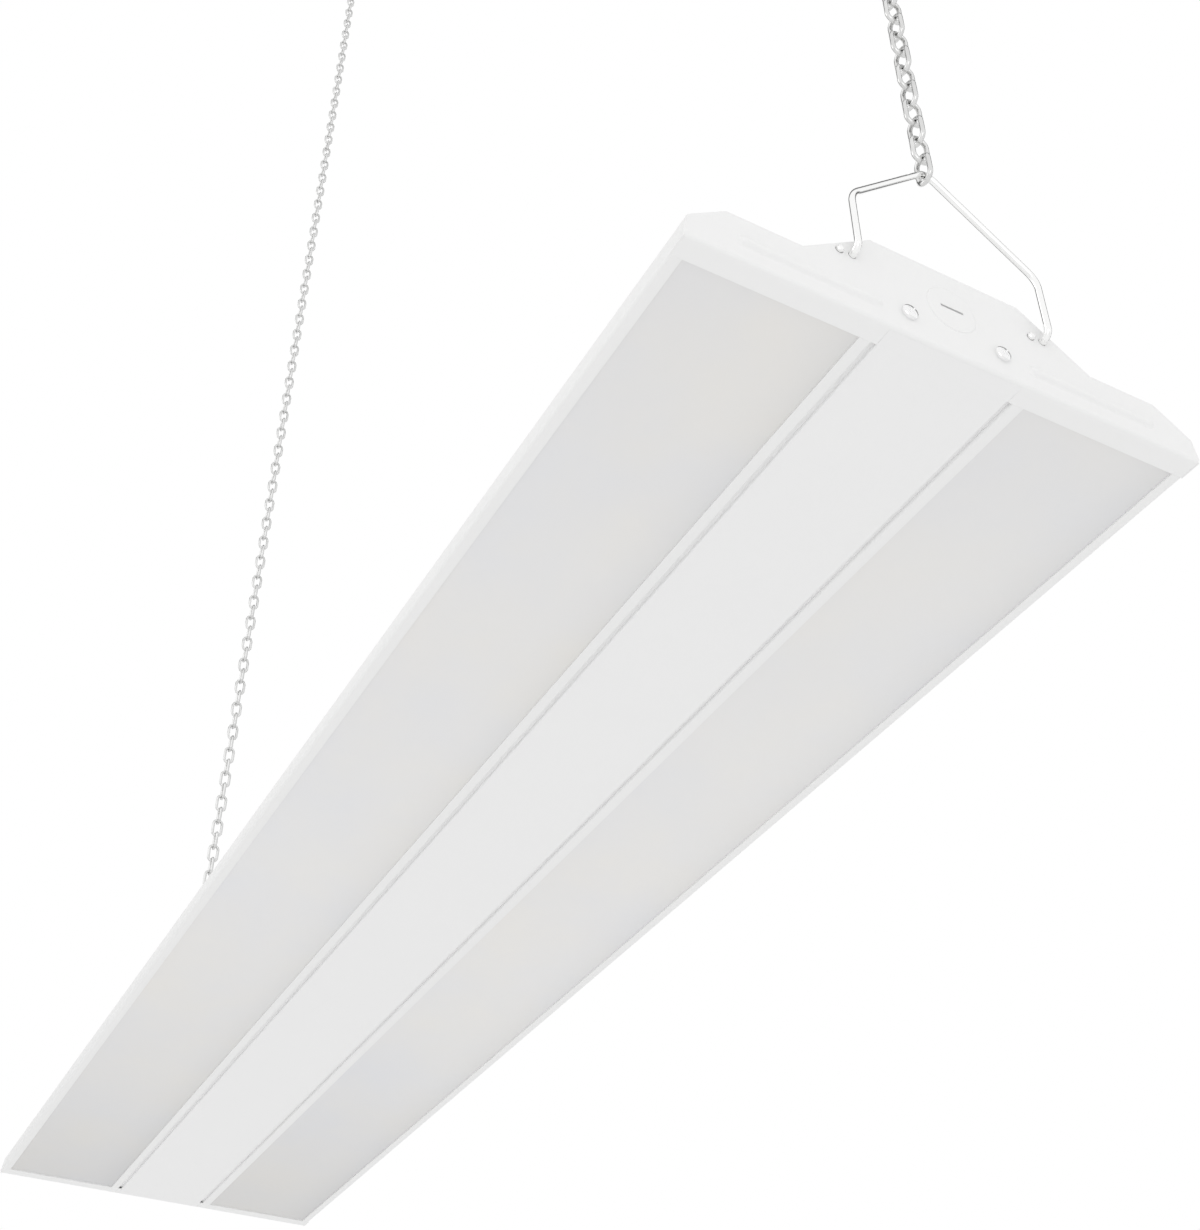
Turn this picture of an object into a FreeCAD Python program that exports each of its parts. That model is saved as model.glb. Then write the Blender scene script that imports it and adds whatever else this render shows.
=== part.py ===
"""Linear shop light on two chains.

A stepped sheet-steel housing with two recessed diffusers hangs level from two
ceiling hooks.  A wire V-hook passes through each end plate and a welded-link
chain carries each V-hook.

Frame, in millimetres: the origin lies on the ceiling, midway between the two
ceiling hooks.  +X points to the near end of the housing, +Y to its right-hand
side as seen from the near end's corner below, and +Z up.
Heights called "h" are counted upwards from the underside of the housing.
"""
import FreeCAD, Part
import math
import os

Vector = FreeCAD.Vector

# ---------------------------------------------------------------- driving dimensions
# Housing, a folded pan that is open below
LENGTH = 1200.0                 # over the two end plates
WIDTH = 290.0                   # across the underside
HEIGHT = 56.0                   # underside to the raised centre's top
WING_HEIGHT = 28.5              # underside to the flat top of each wing
WING_TOP_WIDTH = 245.0          # across the upper outer corners of the wings
STEP_BASE_WIDTH = 165.0         # across the foot of the raised centre
TOP_WIDTH = 86.0                # across the flat top of the raised centre
SIDE_HEIGHT = 14.0              # height of the near-vertical side walls
SIDE_SETBACK = 2.0              # how far a side wall leans in over its height
SHEET = 0.8                     # sheet-steel thickness
SIDE_RIM = 6.5                  # folded rim beside each diffuser

# End plates
END_LIP = 12.5                  # folded lip under each end
SEAM = 0.2                      # running gap along a sheet-metal seam
BEAD_START = 41.5               # stiffening bead, measured from the middle
BEAD_END = 118.0
BEAD_H = 12.5
BEAD_WIDTH = 6.4
BEAD_RISE = 1.8                 # how far a bead stands out from the plate's face
KNOCKOUT_DIA = 28.0
KNOCKOUT_H = 31.0
KNOCKOUT_GAP = 0.15             # sheared line round the knockout
KNOCKOUT_RISE = 0.4             # how far its disc stands out from the plate's face
PRY_SLOT_LENGTH = 13.0
PRY_SLOT_WIDTH = 1.4

# Driver compartment, its cover and the reflector trays
COVER_WIDTH = 74.4
COVER_SIDE_HEIGHT = 2.2         # underside to the flange that closes each slit
COVER_TAB_WIDTH = 68.0
COVER_TAB_HEIGHT = 20.0
FLANGE_GAP = 0.2                # cover's flange to the tray's wall
SLIT = 2.6                      # visible slit between the cover and each tray
RAIL_WIDTH = 6.7                # the tray's visible rail beside the slit
TRAY_OUTER_MARGIN = 4.0         # tray edge to the wing's upper outer corner
RIVET_STRIP = 14.0              # the tray's flat outside its board, for the rivets
LENS_THICKNESS = 1.6
LENS_CLEARANCE = 0.6            # lens edge to the walls that locate it

# Light engine
BOARD_WIDTH = 24.0
BOARD_THICKNESS = 1.2
BOARD_GAP = 4.0                 # between the two boards of a wing
BOARD_END_MARGIN = 12.0
LED_LENGTH = 3.5
LED_WIDTH = 2.8
LED_THICKNESS = 0.7
LED_COUNT = 48                  # in each row
LED_ROW_Y = 5.6                 # each of the two rows to the board's middle line

# Driver, terminals and leads
DRIVER_LENGTH = 270.0
DRIVER_WIDTH = 44.0
DRIVER_HEIGHT = 25.0
DRIVER_FOOT = 14.0
DRIVER_FOOT_THICKNESS = 1.5
DRIVER_X = 60.0                 # middle of the driver
TERMINAL_LENGTH = 16.0
TERMINAL_WIDTH = 30.0
TERMINAL_HEIGHT = 16.0
TERMINAL_INSET = 120.0          # terminal block's middle to the near end
LEAD_DIA = 2.2
LEAD_BEND = 9.0
LEAD_PITCH = 5.0
LEAD_LEVEL = 0.72               # share of the driver's height, down from its top
PLUG_LENGTH = 7.0
PLUG_WIDTH = 4.5
PLUG_HEIGHT = 4.0
PLUG_INSET = 0.5                # plug to the board's edge
GROMMET_BORE = 5.0
GROMMET_WALL = 1.5
GROMMET_FLANGE = 1.2
GROMMET_LIP = 1.6
OUTLET_Y = 62.0                 # lead outlet through each tray

# Screws and rivets: thread diameter, head diameter, head height
END_SCREW = (4.0, 8.6, 2.6)
END_SCREW_Y = 26.5
END_SCREW_H = 14.4
END_SCREW_REACH = 9.0
BOARD_SCREW = (3.0, 5.6, 1.8)
DRIVER_SCREW = (4.0, 8.0, 2.4)
DRIVER_SCREW_REACH = 5.0
GROUND_SCREW = (4.0, 8.0, 2.4)
GROUND_SCREW_REACH = 5.0
GROUND_SCREW_INSET = 180.0      # to the near end
RIVET_DIA = 4.0
RIVET_HEAD_DIA = 7.6
RIVET_HEAD_HEIGHT = 1.3
RIVET_COUNT = 4
RIVET_END_MARGIN = 90.0
HOLE_CLEARANCE = 0.15           # radial, round every screw and rivet
RECESS_SHARE = 0.6              # cross recess, as shares of the head's own size
RECESS_BLADE = 0.16

# V-hook
HOOK_WIRE = 3.8
HOOK_Y = 55.0                   # hook hole to the middle
PEG_H = 38.0                    # axis of the wire where it passes the end plate
HOOK_HOLE_DIA = 5.6
TIP_HOLE_DIA = 4.6
TIP_PITCH = 7.0                 # hook hole to the small hole for the wire's tip
TIP_PROUD = 1.6
HOOK_SEAT_GAP = 0.3             # wire to the hole edge that it bears on
LEG_GAP = 3.4                   # leg to the end plate's face
PEG_DEPTH = 2.2                 # straight wire behind the plate
LEG_BEND = 4.4
SHOULDER_H = 77.0
SHOULDER_BEND = 16.0
APEX_H = 131.0
APEX_BEND = 6.5

# Chain
LINK_WIRE = 2.8
LINK_INNER_LENGTH = 16.0
LINK_INNER_WIDTH = 6.4
LINK_GAP = 0.3                  # between the wires of touching links
LINK_COUNT = 122                # even, so that both end links suit their hooks

# Ceiling hooks
CEILING_WIRE = 4.4
CEILING_HOOK_RADIUS = 9.5       # of the hook's bowl, to the wire's axis
CEILING_NECK = 11.0             # straight wire below the flange
CEILING_FLARE = 8.0             # height over which the wire swings out
CEILING_SIDE = 8.0              # straight side above the bowl
CEILING_TIP = 5.0               # straight tip opposite that side
CEILING_FLARE_BEND = 5.0
FLANGE_DIA = 20.0
FLANGE_THICKNESS = 2.0
SHANK_DIA = 5.0
SHANK_LENGTH = 30.0
SHANK_POINT = 5.0

# ---------------------------------------------------------------- derived places
HALF_LENGTH = LENGTH / 2
HALF_WIDTH = WIDTH / 2
PIVOT_X = HALF_LENGTH - SHEET / 2                  # middle of the end plate's sheet
LEG_X = HALF_LENGTH + LEG_GAP + HOOK_WIRE / 2
PAN_END = HALF_LENGTH - SHEET
LIP_END = HALF_LENGTH - END_LIP
COVER_Y = COVER_WIDTH / 2
RAIL_Y = COVER_Y + SLIT                            # tray wall beside the slit
WINDOW_INNER_Y = RAIL_Y + RAIL_WIDTH
WINDOW_OUTER_Y = HALF_WIDTH - SIDE_RIM
TRAY_OUTER_Y = WING_TOP_WIDTH / 2 - TRAY_OUTER_MARGIN
BOARD_Y = TRAY_OUTER_Y - RIVET_STRIP - BOARD_WIDTH / 2
RIVET_Y = TRAY_OUTER_Y - RIVET_STRIP / 2
TERMINAL_X = HALF_LENGTH - TERMINAL_INSET
GROUND_SCREW_X = HALF_LENGTH - GROUND_SCREW_INSET
BOARD_TOP_H = WING_HEIGHT - 2 * SHEET              # underside of the tray's flat
BOARD_LENGTH = (2 * LIP_END - 2 * BOARD_END_MARGIN - BOARD_GAP) / 2
BOARD_SCREW_REACH = BOARD_THICKNESS + SHEET - HOLE_CLEARANCE

LINK_PITCH = LINK_INNER_LENGTH - LINK_GAP
LINK_HALF_AXIS = (LINK_INNER_LENGTH + LINK_WIRE) / 2          # centre to an arc's wire axis
SEAT_ON_HOOK = (HOOK_WIRE + LINK_WIRE) / 2 + LINK_GAP         # V-hook over the lowest link
BOTTOM_LINK_H = APEX_H - SEAT_ON_HOOK + LINK_HALF_AXIS
TOP_LINK_H = BOTTOM_LINK_H + (LINK_COUNT - 1) * LINK_PITCH
SEAT_ON_CEILING = (CEILING_WIRE + LINK_WIRE) / 2 + LINK_GAP   # top link over the ceiling hook
CEILING_SEAT_H = TOP_LINK_H + LINK_HALF_AXIS - SEAT_ON_CEILING
CEILING_HOOK_DROP = (
    FLANGE_THICKNESS + CEILING_NECK + CEILING_FLARE + CEILING_SIDE + CEILING_HOOK_RADIUS
)
UNDERSIDE_Z = -(CEILING_SEAT_H + CEILING_HOOK_DROP)

X_AXIS = Vector(1, 0, 0)
Y_AXIS = Vector(0, 1, 0)
Z_AXIS = Vector(0, 0, 1)


def at(x, y, h):
    """Point at height h above the housing's underside."""
    return Vector(x, y, UNDERSIDE_Z + h)


def block(x0, x1, y0, y1, h0, h1):
    """Box between two corners, with heights counted from the underside."""
    return Part.makeBox(x1 - x0, y1 - y0, h1 - h0, at(x0, y0, h0))


def mirrored_y(shape):
    """Copy on the other side of the housing's long middle plane."""
    return shape.mirror(Vector(0, 0, 0), Y_AXIS)


def turned(shape):
    """Copy turned half round +Z: a near-end piece placed at the far end."""
    copy = shape.copy()
    copy.rotate(Vector(0, 0, 0), Z_AXIS, 180)
    return copy


def extruded(outline, x0, x1):
    """Prism along X from a closed outline of (y, h) points."""
    points = [at(x0, y, h) for y, h in outline]
    face = Part.Face(Part.makePolygon(points + [points[0]]))
    return face.extrude(Vector(x1 - x0, 0, 0))


def fused(shapes):
    """One clean solid from shapes that meet."""
    return shapes[0].multiFuse(shapes[1:]).removeSplitter()


# ---------------------------------------------------------------- sheet profiles
def line_offset(p, q, distance):
    """A point and direction of the line p-q moved to its right by distance."""
    dy, dh = q[0] - p[0], q[1] - p[1]
    size = math.hypot(dy, dh)
    return (p[0] + dh / size * distance, p[1] - dy / size * distance), (dy / size, dh / size)


def crossing(first, second):
    """Point where two lines, each a point and a direction, cross."""
    (p, u), (q, v) = first, second
    spread = u[0] * v[1] - u[1] * v[0]
    reach = ((q[0] - p[0]) * v[1] - (q[1] - p[1]) * v[0]) / spread
    return (p[0] + u[0] * reach, p[1] + u[1] * reach)


def folded(points, thickness):
    """Closed outline of a sheet folded along points, its thickness to their right."""
    lines = [line_offset(p, q, thickness) for p, q in zip(points, points[1:])]
    inner = [lines[0][0]]
    inner += [crossing(a, b) for a, b in zip(lines, lines[1:])]
    last_line, direction = lines[-1]
    run = math.dist(points[-2], points[-1])
    inner.append((last_line[0] + direction[0] * run, last_line[1] + direction[1] * run))
    return points + inner[::-1]


def section_half():
    """Right half of the housing's outer section, from the rim's corner to the top."""
    return [
        (HALF_WIDTH, 0),
        (HALF_WIDTH - SIDE_SETBACK, SIDE_HEIGHT),
        (WING_TOP_WIDTH / 2, WING_HEIGHT),
        (STEP_BASE_WIDTH / 2, WING_HEIGHT),
        (TOP_WIDTH / 2, HEIGHT),
    ]


def section():
    """Whole outer section, from the right rim's corner over the top to the left's."""
    half = section_half()
    return half + [(-y, h) for y, h in half[::-1]]


# ---------------------------------------------------------------- wires
def bent_wire(points, bends, diameter):
    """Round wire along points, each inner corner rounded to its own bend radius."""
    edges = []
    start = points[0]
    for before, corner, after, bend in zip(points, points[1:], points[2:], bends):
        into = (corner - before).normalize()
        out = (after - corner).normalize()
        turn = into.getAngle(out)
        cut = bend * math.tan(turn / 2)
        entry = corner - into * cut
        leave = corner + out * cut
        middle = corner + (out - into).normalize() * (bend / math.cos(turn / 2) - bend)
        if (entry - start).Length > 1e-6:
            edges.append(Part.LineSegment(start, entry).toShape())
        edges.append(Part.Arc(entry, middle, leave).toShape())
        start = leave
    edges.append(Part.LineSegment(start, points[-1]).toShape())
    path = Part.Wire(edges)
    ring = Part.Wire([Part.Circle(points[0], points[1] - points[0], diameter / 2).toShape()])
    return path.makePipeShell([ring], True, False)


def link_solid():
    """One chain link about the origin: two straight sides and two half rings, in XZ."""
    bend = (LINK_INNER_WIDTH + LINK_WIRE) / 2
    side = (LINK_INNER_LENGTH - LINK_INNER_WIDTH) / 2
    radius = LINK_WIRE / 2
    parts = []
    for x in (-bend, bend):
        parts.append(Part.makeCylinder(radius, 2 * side, Vector(x, 0, -side)))
    for end in (-1, 1):
        ring = Part.makeTorus(bend, radius, Vector(0, 0, end * side), Y_AXIS)
        reach = bend + LINK_WIRE
        low = end * side if end > 0 else end * side - reach
        keep = Part.makeBox(2 * reach, 2 * reach, reach, Vector(-reach, -reach, low))
        parts.append(ring.common(keep))
    return fused(parts)


def link_along(index, model):
    """Copy of the link at place index, counted upwards from the lowest one."""
    link = model.copy()
    if index % 2:
        link.rotate(Vector(0, 0, 0), Z_AXIS, 90)
    link.translate(at(PIVOT_X, 0, BOTTOM_LINK_H + index * LINK_PITCH))
    return link


# ---------------------------------------------------------------- fasteners
def pan_screw(size, reach, place, axis):
    """Pan-head screw with a cross recess; place is where head meets face, axis the way in."""
    thread, head, height = size
    rim = height * 0.45
    crown = height - rim
    radius = head / 2
    outline = [Vector(0, 0, 0), Vector(radius, 0, 0), Vector(radius, 0, rim)]
    dome = Part.Arc(outline[-1], Vector(radius * 0.78, 0, rim + crown * 0.72), Vector(0, 0, height))
    edges = [Part.LineSegment(a, b).toShape() for a, b in zip(outline, outline[1:])]
    edges.append(dome.toShape())
    edges.append(Part.LineSegment(Vector(0, 0, height), Vector(0, 0, 0)).toShape())
    cap = Part.Face(Part.Wire(edges)).revolve(Vector(0, 0, 0), Z_AXIS, 360)
    arm = radius * RECESS_SHARE
    blade = head * RECESS_BLADE / 2
    depth = height * RECESS_SHARE
    floor = height - depth
    cap = cap.cut(Part.makeBox(2 * arm, 2 * blade, depth + 1, Vector(-arm, -blade, floor)))
    cap = cap.cut(Part.makeBox(2 * blade, 2 * arm, depth + 1, Vector(-blade, -arm, floor)))
    shank = Part.makeCylinder(thread / 2, reach + rim / 2, Vector(0, 0, rim / 2), Vector(0, 0, -1))
    screw = fused([cap, shank])
    screw.rotate(Vector(0, 0, 0), Z_AXIS, 45)
    screw.Placement = FreeCAD.Placement(place, FreeCAD.Rotation(Z_AXIS, axis * -1)).multiply(
        screw.Placement
    )
    return screw


def screw_hole(size, place, axis, depth):
    """Clearance hole for a screw, centred on its place along its axis."""
    radius = size[0] / 2 + HOLE_CLEARANCE
    return Part.makeCylinder(radius, 2 * depth, place - axis * depth, axis)


def end_screw_places():
    """Where the near end plate's two screw heads sit."""
    return [at(HALF_LENGTH, side * END_SCREW_Y, END_SCREW_H) for side in (-1, 1)]


def driver_screw_places():
    """Screws through the housing's top into the driver's two feet."""
    reach = (DRIVER_LENGTH + DRIVER_FOOT) / 2
    return [at(DRIVER_X + side * reach, 0, HEIGHT) for side in (-1, 1)]


def rivet_places():
    """Rivets that fix the right-hand tray to its wing."""
    span = LENGTH - 2 * RIVET_END_MARGIN
    return [(-span / 2 + span * i / (RIVET_COUNT - 1), RIVET_Y) for i in range(RIVET_COUNT)]


def board_centres():
    """Middles of the two boards of a wing, along X."""
    reach = (BOARD_LENGTH + BOARD_GAP) / 2
    return (-reach, reach)


def board_screw_places():
    """Screws of the right-hand wing's boards, on the boards' undersides."""
    places = []
    for centre in board_centres():
        for share in (-0.46, 0.0, 0.46):
            places.append(at(centre + share * BOARD_LENGTH, BOARD_Y, BOARD_TOP_H - BOARD_THICKNESS))
    return places


# ---------------------------------------------------------------- housing
def make_housing():
    """Folded pan: rims, side walls, wings and raised centre, with every hole."""
    rim = [(WINDOW_OUTER_Y, 0)]
    outer = rim + section() + [(-WINDOW_OUTER_Y, 0)]
    pan = extruded(folded(outer[::-1], SHEET), -PAN_END, PAN_END)
    for side in (-1, 1):
        for end in (-1, 1):
            x0, x1 = sorted((end * LIP_END, end * HALF_LENGTH))
            y0, y1 = sorted((side * (WINDOW_OUTER_Y - 1), side * (HALF_WIDTH - SHEET - SEAM)))
            pan = pan.cut(block(x0, x1, y0, y1, -1, SHEET + SEAM))
    for place in driver_screw_places():
        pan = pan.cut(screw_hole(DRIVER_SCREW, place, Z_AXIS, 2 * SHEET))
    ground = at(GROUND_SCREW_X, 0, HEIGHT)
    pan = pan.cut(screw_hole(GROUND_SCREW, ground, Z_AXIS, 2 * SHEET))
    for side in (-1, 1):
        for x, y in rivet_places():
            pan = pan.cut(rivet_hole(x, side * y))
    return pan


def rivet_hole(x, y):
    """Hole through a wing and its tray for one rivet."""
    radius = RIVET_DIA / 2 + HOLE_CLEARANCE
    return Part.makeCylinder(radius, 4 * SHEET, at(x, y, WING_HEIGHT - 3 * SHEET), Z_AXIS)


def bead_solid(side, x0, x1, radius):
    """Bar with round ends along one bead's middle line, from x0 to x1."""
    y0, y1 = sorted((side * (BEAD_START + BEAD_WIDTH / 2), side * (BEAD_END - BEAD_WIDTH / 2)))
    ends = [Part.makeCylinder(radius, x1 - x0, at(x0, y, BEAD_H), X_AXIS) for y in (y0, y1)]
    return fused(ends + [block(x0, x1, y0, y1, BEAD_H - radius, BEAD_H + radius)])


def make_end_plate():
    """Near end plate: stepped face, two beads, folded lips and all its holes."""
    plate = extruded(section(), PAN_END, HALF_LENGTH)
    lips = []
    for side in (-1, 1):
        y0, y1 = sorted((side * (COVER_Y + SEAM), side * (HALF_WIDTH - SHEET - 2 * SEAM)))
        lips.append(block(LIP_END, HALF_LENGTH, y0, y1, 0, SHEET))
        lips.append(bead_solid(side, PAN_END, HALF_LENGTH + BEAD_RISE, BEAD_WIDTH / 2))
    plate = fused([plate] + lips)
    for side in (-1, 1):
        hollow = (PAN_END - 1, PAN_END + BEAD_RISE, BEAD_WIDTH / 2 - SHEET)
        plate = plate.cut(bead_solid(side, *hollow))
        hook_hole = at(PAN_END - 1, side * HOOK_Y, PEG_H - hole_drop())
        plate = plate.cut(Part.makeCylinder(HOOK_HOLE_DIA / 2, SHEET + 2, hook_hole, X_AXIS))
        tip_hole = at(PAN_END - 1, side * HOOK_Y - TIP_PITCH, PEG_H)
        plate = plate.cut(Part.makeCylinder(TIP_HOLE_DIA / 2, SHEET + 2, tip_hole, X_AXIS))
    knockout = at(PAN_END - 1, 0, KNOCKOUT_H)
    plate = plate.cut(Part.makeCylinder(KNOCKOUT_DIA / 2, SHEET + 2, knockout, X_AXIS))
    for place in end_screw_places():
        plate = plate.cut(screw_hole(END_SCREW, place, X_AXIS, 3 * SHEET))
    return plate


def hole_drop():
    """How far the hook hole's centre lies below the wire that bears on its top edge."""
    return (HOOK_HOLE_DIA - HOOK_WIRE) / 2 - HOOK_SEAT_GAP


def make_knockout():
    """Near knockout disc with its pry slot, still in place in the end plate."""
    radius = KNOCKOUT_DIA / 2 - KNOCKOUT_GAP
    disc = Part.makeCylinder(radius, SHEET, at(PAN_END + KNOCKOUT_RISE, 0, KNOCKOUT_H), X_AXIS)
    half = PRY_SLOT_LENGTH / 2
    slot = block(
        PAN_END - 1, HALF_LENGTH + 1, -half, half,
        KNOCKOUT_H - PRY_SLOT_WIDTH / 2, KNOCKOUT_H + PRY_SLOT_WIDTH / 2,
    )
    return disc.cut(slot)


def make_cover():
    """Flat cover of the driver compartment: a shallow flanged channel with two end tabs."""
    flange_y = RAIL_Y - FLANGE_GAP
    half_fold = [(flange_y, COVER_SIDE_HEIGHT), (COVER_Y, COVER_SIDE_HEIGHT), (COVER_Y, 0)]
    fold = half_fold + [(-y, h) for y, h in half_fold[::-1]]
    cover = extruded(folded(fold, SHEET), -PAN_END, PAN_END)
    half = COVER_TAB_WIDTH / 2
    tab = block(PAN_END - SHEET, PAN_END, -half, half, 0, COVER_TAB_HEIGHT)
    cover = fused([cover, tab, turned(tab)])
    for place in end_screw_places():
        hole = screw_hole(END_SCREW, place, X_AXIS, 3 * SHEET)
        cover = cover.cut(hole).cut(turned(hole))
    return cover


def make_tray():
    """Right-hand reflector tray: visible rail, upright wall and flat under the wing."""
    top = WING_HEIGHT - SHEET
    outline = [(WINDOW_INNER_Y, 0), (RAIL_Y, 0), (RAIL_Y, top), (TRAY_OUTER_Y, top)]
    tray = extruded(folded(outline, SHEET), -PAN_END, PAN_END)
    for end in (-1, 1):
        x0, x1 = sorted((end * LIP_END, end * HALF_LENGTH))
        tray = tray.cut(block(x0, x1, RAIL_Y - 1, WINDOW_INNER_Y + 1, -1, SHEET + SEAM))
    for x, y in rivet_places():
        tray = tray.cut(rivet_hole(x, y))
    for place in board_screw_places():
        tray = tray.cut(screw_hole(BOARD_SCREW, place, Z_AXIS, BOARD_THICKNESS + 2 * SHEET))
    outlet = at(outlet_x(), OUTLET_Y, top - 2 * SHEET)
    return tray.cut(Part.makeCylinder(GROMMET_BORE / 2 + GROMMET_WALL, 4 * SHEET, outlet))


def make_lens():
    """Right-hand diffuser panel, lying on the rims and lips round its window."""
    y0 = RAIL_Y + SHEET + LENS_CLEARANCE
    y1 = HALF_WIDTH - SHEET - LENS_CLEARANCE
    x = PAN_END - LENS_CLEARANCE
    return block(-x, x, y0, y1, SHEET, SHEET + LENS_THICKNESS)


# ---------------------------------------------------------------- light engine
def make_boards():
    """The two long light boards under the right-hand tray."""
    boards = []
    for centre in board_centres():
        half = BOARD_LENGTH / 2
        board = block(
            centre - half, centre + half, BOARD_Y - BOARD_WIDTH / 2, BOARD_Y + BOARD_WIDTH / 2,
            BOARD_TOP_H - BOARD_THICKNESS, BOARD_TOP_H,
        )
        for place in board_screw_places():
            board = board.cut(screw_hole(BOARD_SCREW, place, Z_AXIS, 2 * BOARD_THICKNESS))
        boards.append(board)
    return Part.makeCompound(boards)


def make_leds():
    """Two rows of light-emitting packages under each board of the right-hand wing."""
    top = BOARD_TOP_H - BOARD_THICKNESS
    pitch = BOARD_LENGTH / LED_COUNT
    package = block(
        -LED_LENGTH / 2, LED_LENGTH / 2, BOARD_Y - LED_WIDTH / 2, BOARD_Y + LED_WIDTH / 2,
        top - LED_THICKNESS, top,
    )
    leds = []
    for centre in board_centres():
        first = centre - pitch * (LED_COUNT - 1) / 2
        for i in range(LED_COUNT):
            for side in (-1, 1):
                led = package.copy()
                led.translate(Vector(first + i * pitch, side * LED_ROW_Y, 0))
                leds.append(led)
    return Part.makeCompound(leds)


def make_board_screws():
    """All screws that hold the boards of both wings."""
    right = [pan_screw(BOARD_SCREW, BOARD_SCREW_REACH, p, Z_AXIS) for p in board_screw_places()]
    return Part.makeCompound(right + [mirrored_y(s) for s in right])


def make_rivets():
    """Rivets that join both trays to the wings, with a head at each end."""
    top = WING_HEIGHT
    under = WING_HEIGHT - 2 * SHEET
    rivets = []
    for side in (-1, 1):
        for x, y in rivet_places():
            stem = Part.makeCylinder(RIVET_DIA / 2, top - under, at(x, side * y, under))
            head = dome_head(at(x, side * y, top), Z_AXIS)
            foot = dome_head(at(x, side * y, under), Z_AXIS * -1)
            rivets.append(fused([stem, head, foot]))
    return Part.makeCompound(rivets)


def dome_head(place, axis):
    """Low round rivet head standing on a face."""
    radius = RIVET_HEAD_DIA / 2
    ball = (radius ** 2 + RIVET_HEAD_HEIGHT ** 2) / (2 * RIVET_HEAD_HEIGHT)
    sphere = Part.makeSphere(ball, place + axis * (RIVET_HEAD_HEIGHT - ball))
    return sphere.common(Part.makeCylinder(radius, RIVET_HEAD_HEIGHT, place, axis))


# ---------------------------------------------------------------- driver and leads
def outlet_x():
    """Where the lead outlets lie along X, just past the driver's far foot."""
    return DRIVER_X - DRIVER_LENGTH / 2 - 2.5 * DRIVER_FOOT


def make_driver():
    """Driver case hung under the housing's top, with a screwed foot at each end."""
    top = HEIGHT - SHEET
    x0 = DRIVER_X - DRIVER_LENGTH / 2
    x1 = DRIVER_X + DRIVER_LENGTH / 2
    half = DRIVER_WIDTH / 2
    case = block(x0, x1, -half, half, top - DRIVER_HEIGHT, top)
    feet = block(
        x0 - DRIVER_FOOT, x1 + DRIVER_FOOT, -half / 2, half / 2, top - DRIVER_FOOT_THICKNESS, top
    )
    driver = fused([case, feet])
    for place in driver_screw_places():
        driver = driver.cut(screw_hole(DRIVER_SCREW, place, Z_AXIS, 3 * SHEET))
    return driver


def make_driver_screws():
    """Two screws through the housing's top into the driver's feet."""
    down = Z_AXIS * -1
    places = driver_screw_places()
    return Part.makeCompound([pan_screw(DRIVER_SCREW, DRIVER_SCREW_REACH, p, down) for p in places])


def make_terminal_block():
    """Three-way terminal block under the housing's top, with its wire entries."""
    top = HEIGHT - SHEET
    half = TERMINAL_WIDTH / 2
    body = block(
        TERMINAL_X - TERMINAL_LENGTH / 2, TERMINAL_X + TERMINAL_LENGTH / 2,
        -half, half, top - TERMINAL_HEIGHT, top,
    )
    for lane in (-1, 0, 1):
        place = at(TERMINAL_X, lane * 2 * LEAD_PITCH, top - TERMINAL_HEIGHT / 2)
        entry = Part.makeCylinder(LEAD_DIA, TERMINAL_LENGTH, place, X_AXIS)
        body = body.cut(entry)
    return body


def make_supply_leads():
    """Three short leads from the terminal block to the driver's near face."""
    start_x = TERMINAL_X - TERMINAL_LENGTH / 2
    end_x = DRIVER_X + DRIVER_LENGTH / 2
    start_h = HEIGHT - SHEET - TERMINAL_HEIGHT / 2
    end_h = HEIGHT - SHEET - LEAD_LEVEL * DRIVER_HEIGHT
    span = start_x - end_x
    leads = []
    for lane in (-1, 0, 1):
        points = [
            at(start_x, lane * 2 * LEAD_PITCH, start_h),
            at(start_x - 0.2 * span, lane * 2 * LEAD_PITCH, start_h),
            at(start_x - 0.45 * span, lane * LEAD_PITCH, end_h - LEAD_BEND),
            at(end_x + 0.25 * span, lane * LEAD_PITCH, end_h),
            at(end_x, lane * LEAD_PITCH, end_h),
        ]
        leads.append(bent_wire(points, [4 * LEAD_BEND] * 3, LEAD_DIA))
    return Part.makeCompound(leads)


def make_output_lead():
    """Lead from the driver's far face through the right-hand tray to its board's plug."""
    start_x = DRIVER_X - DRIVER_LENGTH / 2
    h = HEIGHT - SHEET - LEAD_LEVEL * DRIVER_HEIGHT
    end_h = BOARD_TOP_H - BOARD_THICKNESS - PLUG_HEIGHT / 2
    points = [
        at(start_x, DRIVER_WIDTH / 4, h),
        at(outlet_x(), DRIVER_WIDTH / 4, h),
        at(outlet_x(), OUTLET_Y, h),
        at(outlet_x(), OUTLET_Y, end_h),
        at(outlet_x(), plug_y(), end_h),
    ]
    return bent_wire(points, [LEAD_BEND, LEAD_BEND / 2, LEAD_BEND / 3], LEAD_DIA)


def plug_y():
    """Inner face of the plug under the right-hand wing's board."""
    return BOARD_Y - BOARD_WIDTH / 2 + PLUG_INSET


def make_plug():
    """Lead plug under the right-hand wing's far board, beside its inner row."""
    top = BOARD_TOP_H - BOARD_THICKNESS
    return block(
        outlet_x() - PLUG_LENGTH / 2, outlet_x() + PLUG_LENGTH / 2,
        plug_y(), plug_y() + PLUG_WIDTH, top - PLUG_HEIGHT, top,
    )


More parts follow.
